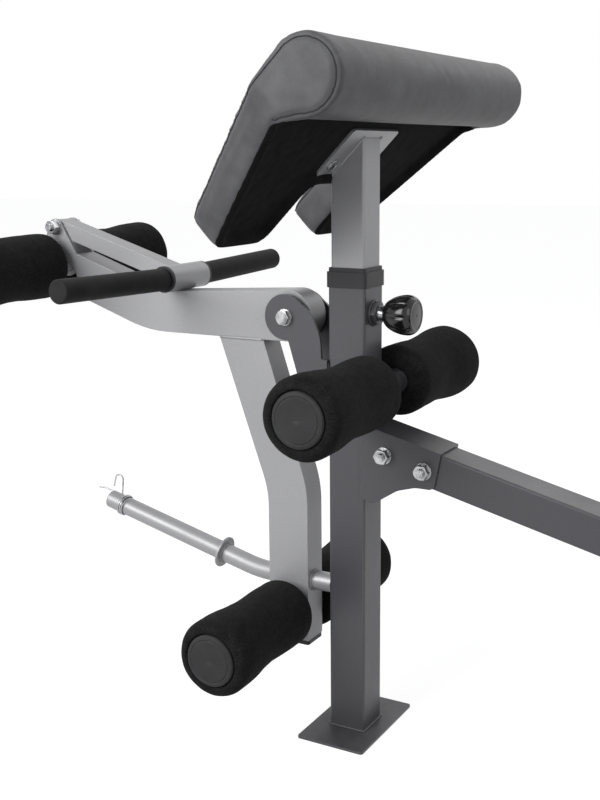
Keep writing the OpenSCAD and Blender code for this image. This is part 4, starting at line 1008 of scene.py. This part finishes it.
# Threads
THREAD_PITCH, THREAD_SIDES = 1.5, 24
THREAD_RIDGE = 0.00042
BOLT_R, BARREL_R = 4.9, 9.3
BARREL_THREAD_X, BARREL_THREAD = 0.0340, 6.5
RAIL_BOLTS_X = (52.9, 105.7)
BACK_HINGE = (697, 424)


def thread(start, along, radius, length):
    """A fine raised thread of this radius and length, in millimetres, on the end of a bolt."""
    along = Vector(along).normalized()
    across = along.orthogonal().normalized()
    other = along.cross(across)
    steps = int(length / THREAD_PITCH * THREAD_SIDES)
    line = []
    for k in range(steps + 1):
        a = 2 * math.pi * k / THREAD_SIDES
        round_bolt = (across * math.cos(a) + other * math.sin(a)) * radius * MM
        line.append(Vector(start) + along * length * MM * k / steps + round_bolt)
    return line


def rail_line(x):
    return RAIL_START_Z - (x - RAIL_START_X) * math.tan(RAIL_FALL)


def make_threads():
    """Threads on the barrel and on each bolt's nut end: body, x, z, y, side and length."""
    low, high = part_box("rear_saddle")
    rear = (low.x + high.x) / 2 / MM
    ends = [("frame", x, rail_line(x) - 3, -39.3, -1, 3.7) for x in RAIL_BOLTS_X]
    ends += [("frame", x, rail_line(x), -39.3, -1, 3.7) for x in (rear - 12, rear + 12)]
    ends += [("frame", PIVOT.x / MM, PIVOT.z / MM, 40.3, 1, 1.7), ("frame", *BACK_HINGE, 40.3, 1, 1.7),
             ("leg_lever", CURL_PIN.x / MM, CURL_PIN.z / MM, -30.7, -1, 4.2)]
    barrel = thread((BARREL_THREAD_X, 0, PLUNGER_Z), (1, 0, 0), BARREL_R, BARREL_THREAD)
    lines = {"frame": [barrel], "leg_lever": []}
    for body, x, z, y, side, length in ends:
        lines[body].append(thread((x * MM, y * MM, z * MM), (0, side, 0), BOLT_R, length))
    for body, turns in lines.items():
        piece = tube_piece(turns, THREAD_RIDGE, 0)
        finish_piece(piece, f"{body}_bolt_threads", body, bright_zinc, "bright_zinc")


make_threads()


# Weld beads
BEAD_R, BEAD_STEP = 0.0017, 0.0008
BEAD_RIPPLE, BEAD_RIPPLE_STEP, BEAD_STRAY = 0.14, 2.1, 0.05


def ring_points(centre, along, radius):
    """Points round a tube, in millimetres, from its top where it lies level."""
    along = Vector(along).normalized()
    across = Vector((0, 0, 1))
    across = (across - along * across.dot(along)).normalized()
    other = along.cross(across)
    return [Vector(centre) + (across * math.cos(a) + other * math.sin(a)) * radius
            for a in arc(range(0, 361, 6))]


def weld_lines():
    """The line of each bead in millimetres, by the body that it rides on."""
    frame_beads = [[(-25, -25, 3.4), (25, -25, 3.4), (25, 25, 3.4), (-25, 25, 3.4), (-25, -25, 3.4)]]
    for y in (-25.6, 25.6):
        frame_beads.append([(20.8, y, 328), (20.8, y, 412)])
        frame_beads.append([(-24.6, y * 1.005, 398), (-24.6, y * 1.005, 488)])
    frame_beads.append(ring_points((25.4, 0, 550), (1, 0, 0), 14.6))
    lever_beads = []
    for y in (-19.3, 19.3):
        lever_beads.append([(-188, y, 509.3), (-124, y, 509.3)])
        lever_beads.append(ring_points((-89.25, y, 151), (0, 1, 0), 13.2))
    for y in (-22.6, 22.6):
        lever_beads.append(ring_points((-473, y, 591.957), (0, 1, 0), 13.2))
    for x in (-118.8, -59.6):
        lever_beads.append(ring_points((x, 0, 190), (1, 0, 0), 13.2))
    for along in (57.6, 62.4):
        lever_beads.append(ring_points(on_horn(0, 0, along) * 1000, HORN_AHEAD, 13.1))
    post_beads = [[on_pad(s, y, -0.2) * 1000 for s in (76, 142)] for y in (-22.8, 22.8)]
    return {"frame": frame_beads, "leg_lever": lever_beads, "preacher_pad": post_beads}


def make_welds():
    random.seed(7)

    def uneven_bead(i):
        return 1 + BEAD_RIPPLE * math.cos(i * BEAD_RIPPLE_STEP) + random.uniform(-BEAD_STRAY, BEAD_STRAY)
    for body, beads in weld_lines().items():
        lines = [resample([Vector(p) * MM for p in bead], BEAD_STEP) for bead in beads]
        piece = tube_piece(lines, BEAD_R, 2, swell=uneven_bead)
        paint, slot = (charcoal_paint, "dark_paint") if body == "frame" else (silver_paint, "light_paint")
        finish_piece(piece, f"{body}_welds", body, paint, slot)


make_welds()


# Floor, world and lights
WHITE = (1, 1, 1, 1)
SKY = (0.97, 0.98, 1.0, 1)
SKY_STRENGTH = 0.42
FLOOR_GREY = (0.32, 0.32, 0.32, 1)
FLOOR_GLOW = 0.85

# Name, place, what it looks at, size and power
LIGHTS = [
    ("key", (-1.2, -2.5, 1.8), (0, 0, 0.7), 1.8, 84),
    ("fill", (2.5, -1.2, 1.5), (0.1, 0, 0.7), 1.6, 17),
    ("rear", (0.5, 2.8, 2.4), (0.3, 0, 0.5), 2.2, 12),
]


def backdrop_seen(tree):
    """1 for rays that show the backdrop: straight to the camera, in a shine, or through glass."""
    rays = tree.nodes.new("ShaderNodeLightPath").outputs
    shown = maths(tree, "MAXIMUM", rays["Is Glossy Ray"], rays["Is Transmission Ray"])
    return maths(tree, "MAXIMUM", rays["Is Camera Ray"], shown)


def make_floor():
    bpy.ops.mesh.primitive_plane_add(size=30, location=(0, 0, -0.0005))
    floor = bpy.context.view_layer.objects.active
    floor.name = "floor"
    material, tree, surface = start_material("floor", Base_Color=FLOOR_GREY, Roughness=0.9,
                                             Specular_IOR_Level=0.0, Emission_Color=WHITE)
    tree.links.new(product(tree, backdrop_seen(tree), FLOOR_GLOW), surface.inputs["Emission Strength"])
    floor.data.materials.append(material)


def make_world():
    world = bpy.data.worlds.new("studio")
    bpy.context.scene.world = world
    world.use_nodes = True
    tree = world.node_tree
    for old in list(tree.nodes):
        tree.nodes.remove(old)
    soft = add_node(tree, "ShaderNodeBackground", [("Color", SKY), ("Strength", SKY_STRENGTH)])
    white = add_node(tree, "ShaderNodeBackground", [("Color", WHITE), ("Strength", 1.0)])
    both = add_node(tree, "ShaderNodeMixShader", [
        (0, backdrop_seen(tree)), (1, soft.outputs[0]), (2, white.outputs[0])])
    out = tree.nodes.new("ShaderNodeOutputWorld")
    tree.links.new(both.outputs[0], out.inputs[0])


def area_light(name, place, target, size, power):
    lamp = bpy.data.lights.new(name, "AREA")
    lamp.shape = "SQUARE"
    lamp.size = size
    lamp.energy = power
    light = linked(name, lamp)
    light.location = place
    light.rotation_euler = (Vector(target) - Vector(place)).to_track_quat("-Z", "Y").to_euler()


make_floor()
make_world()
for light in LIGHTS:
    area_light(*light)
bpy.context.scene.view_settings.view_transform = "Standard"
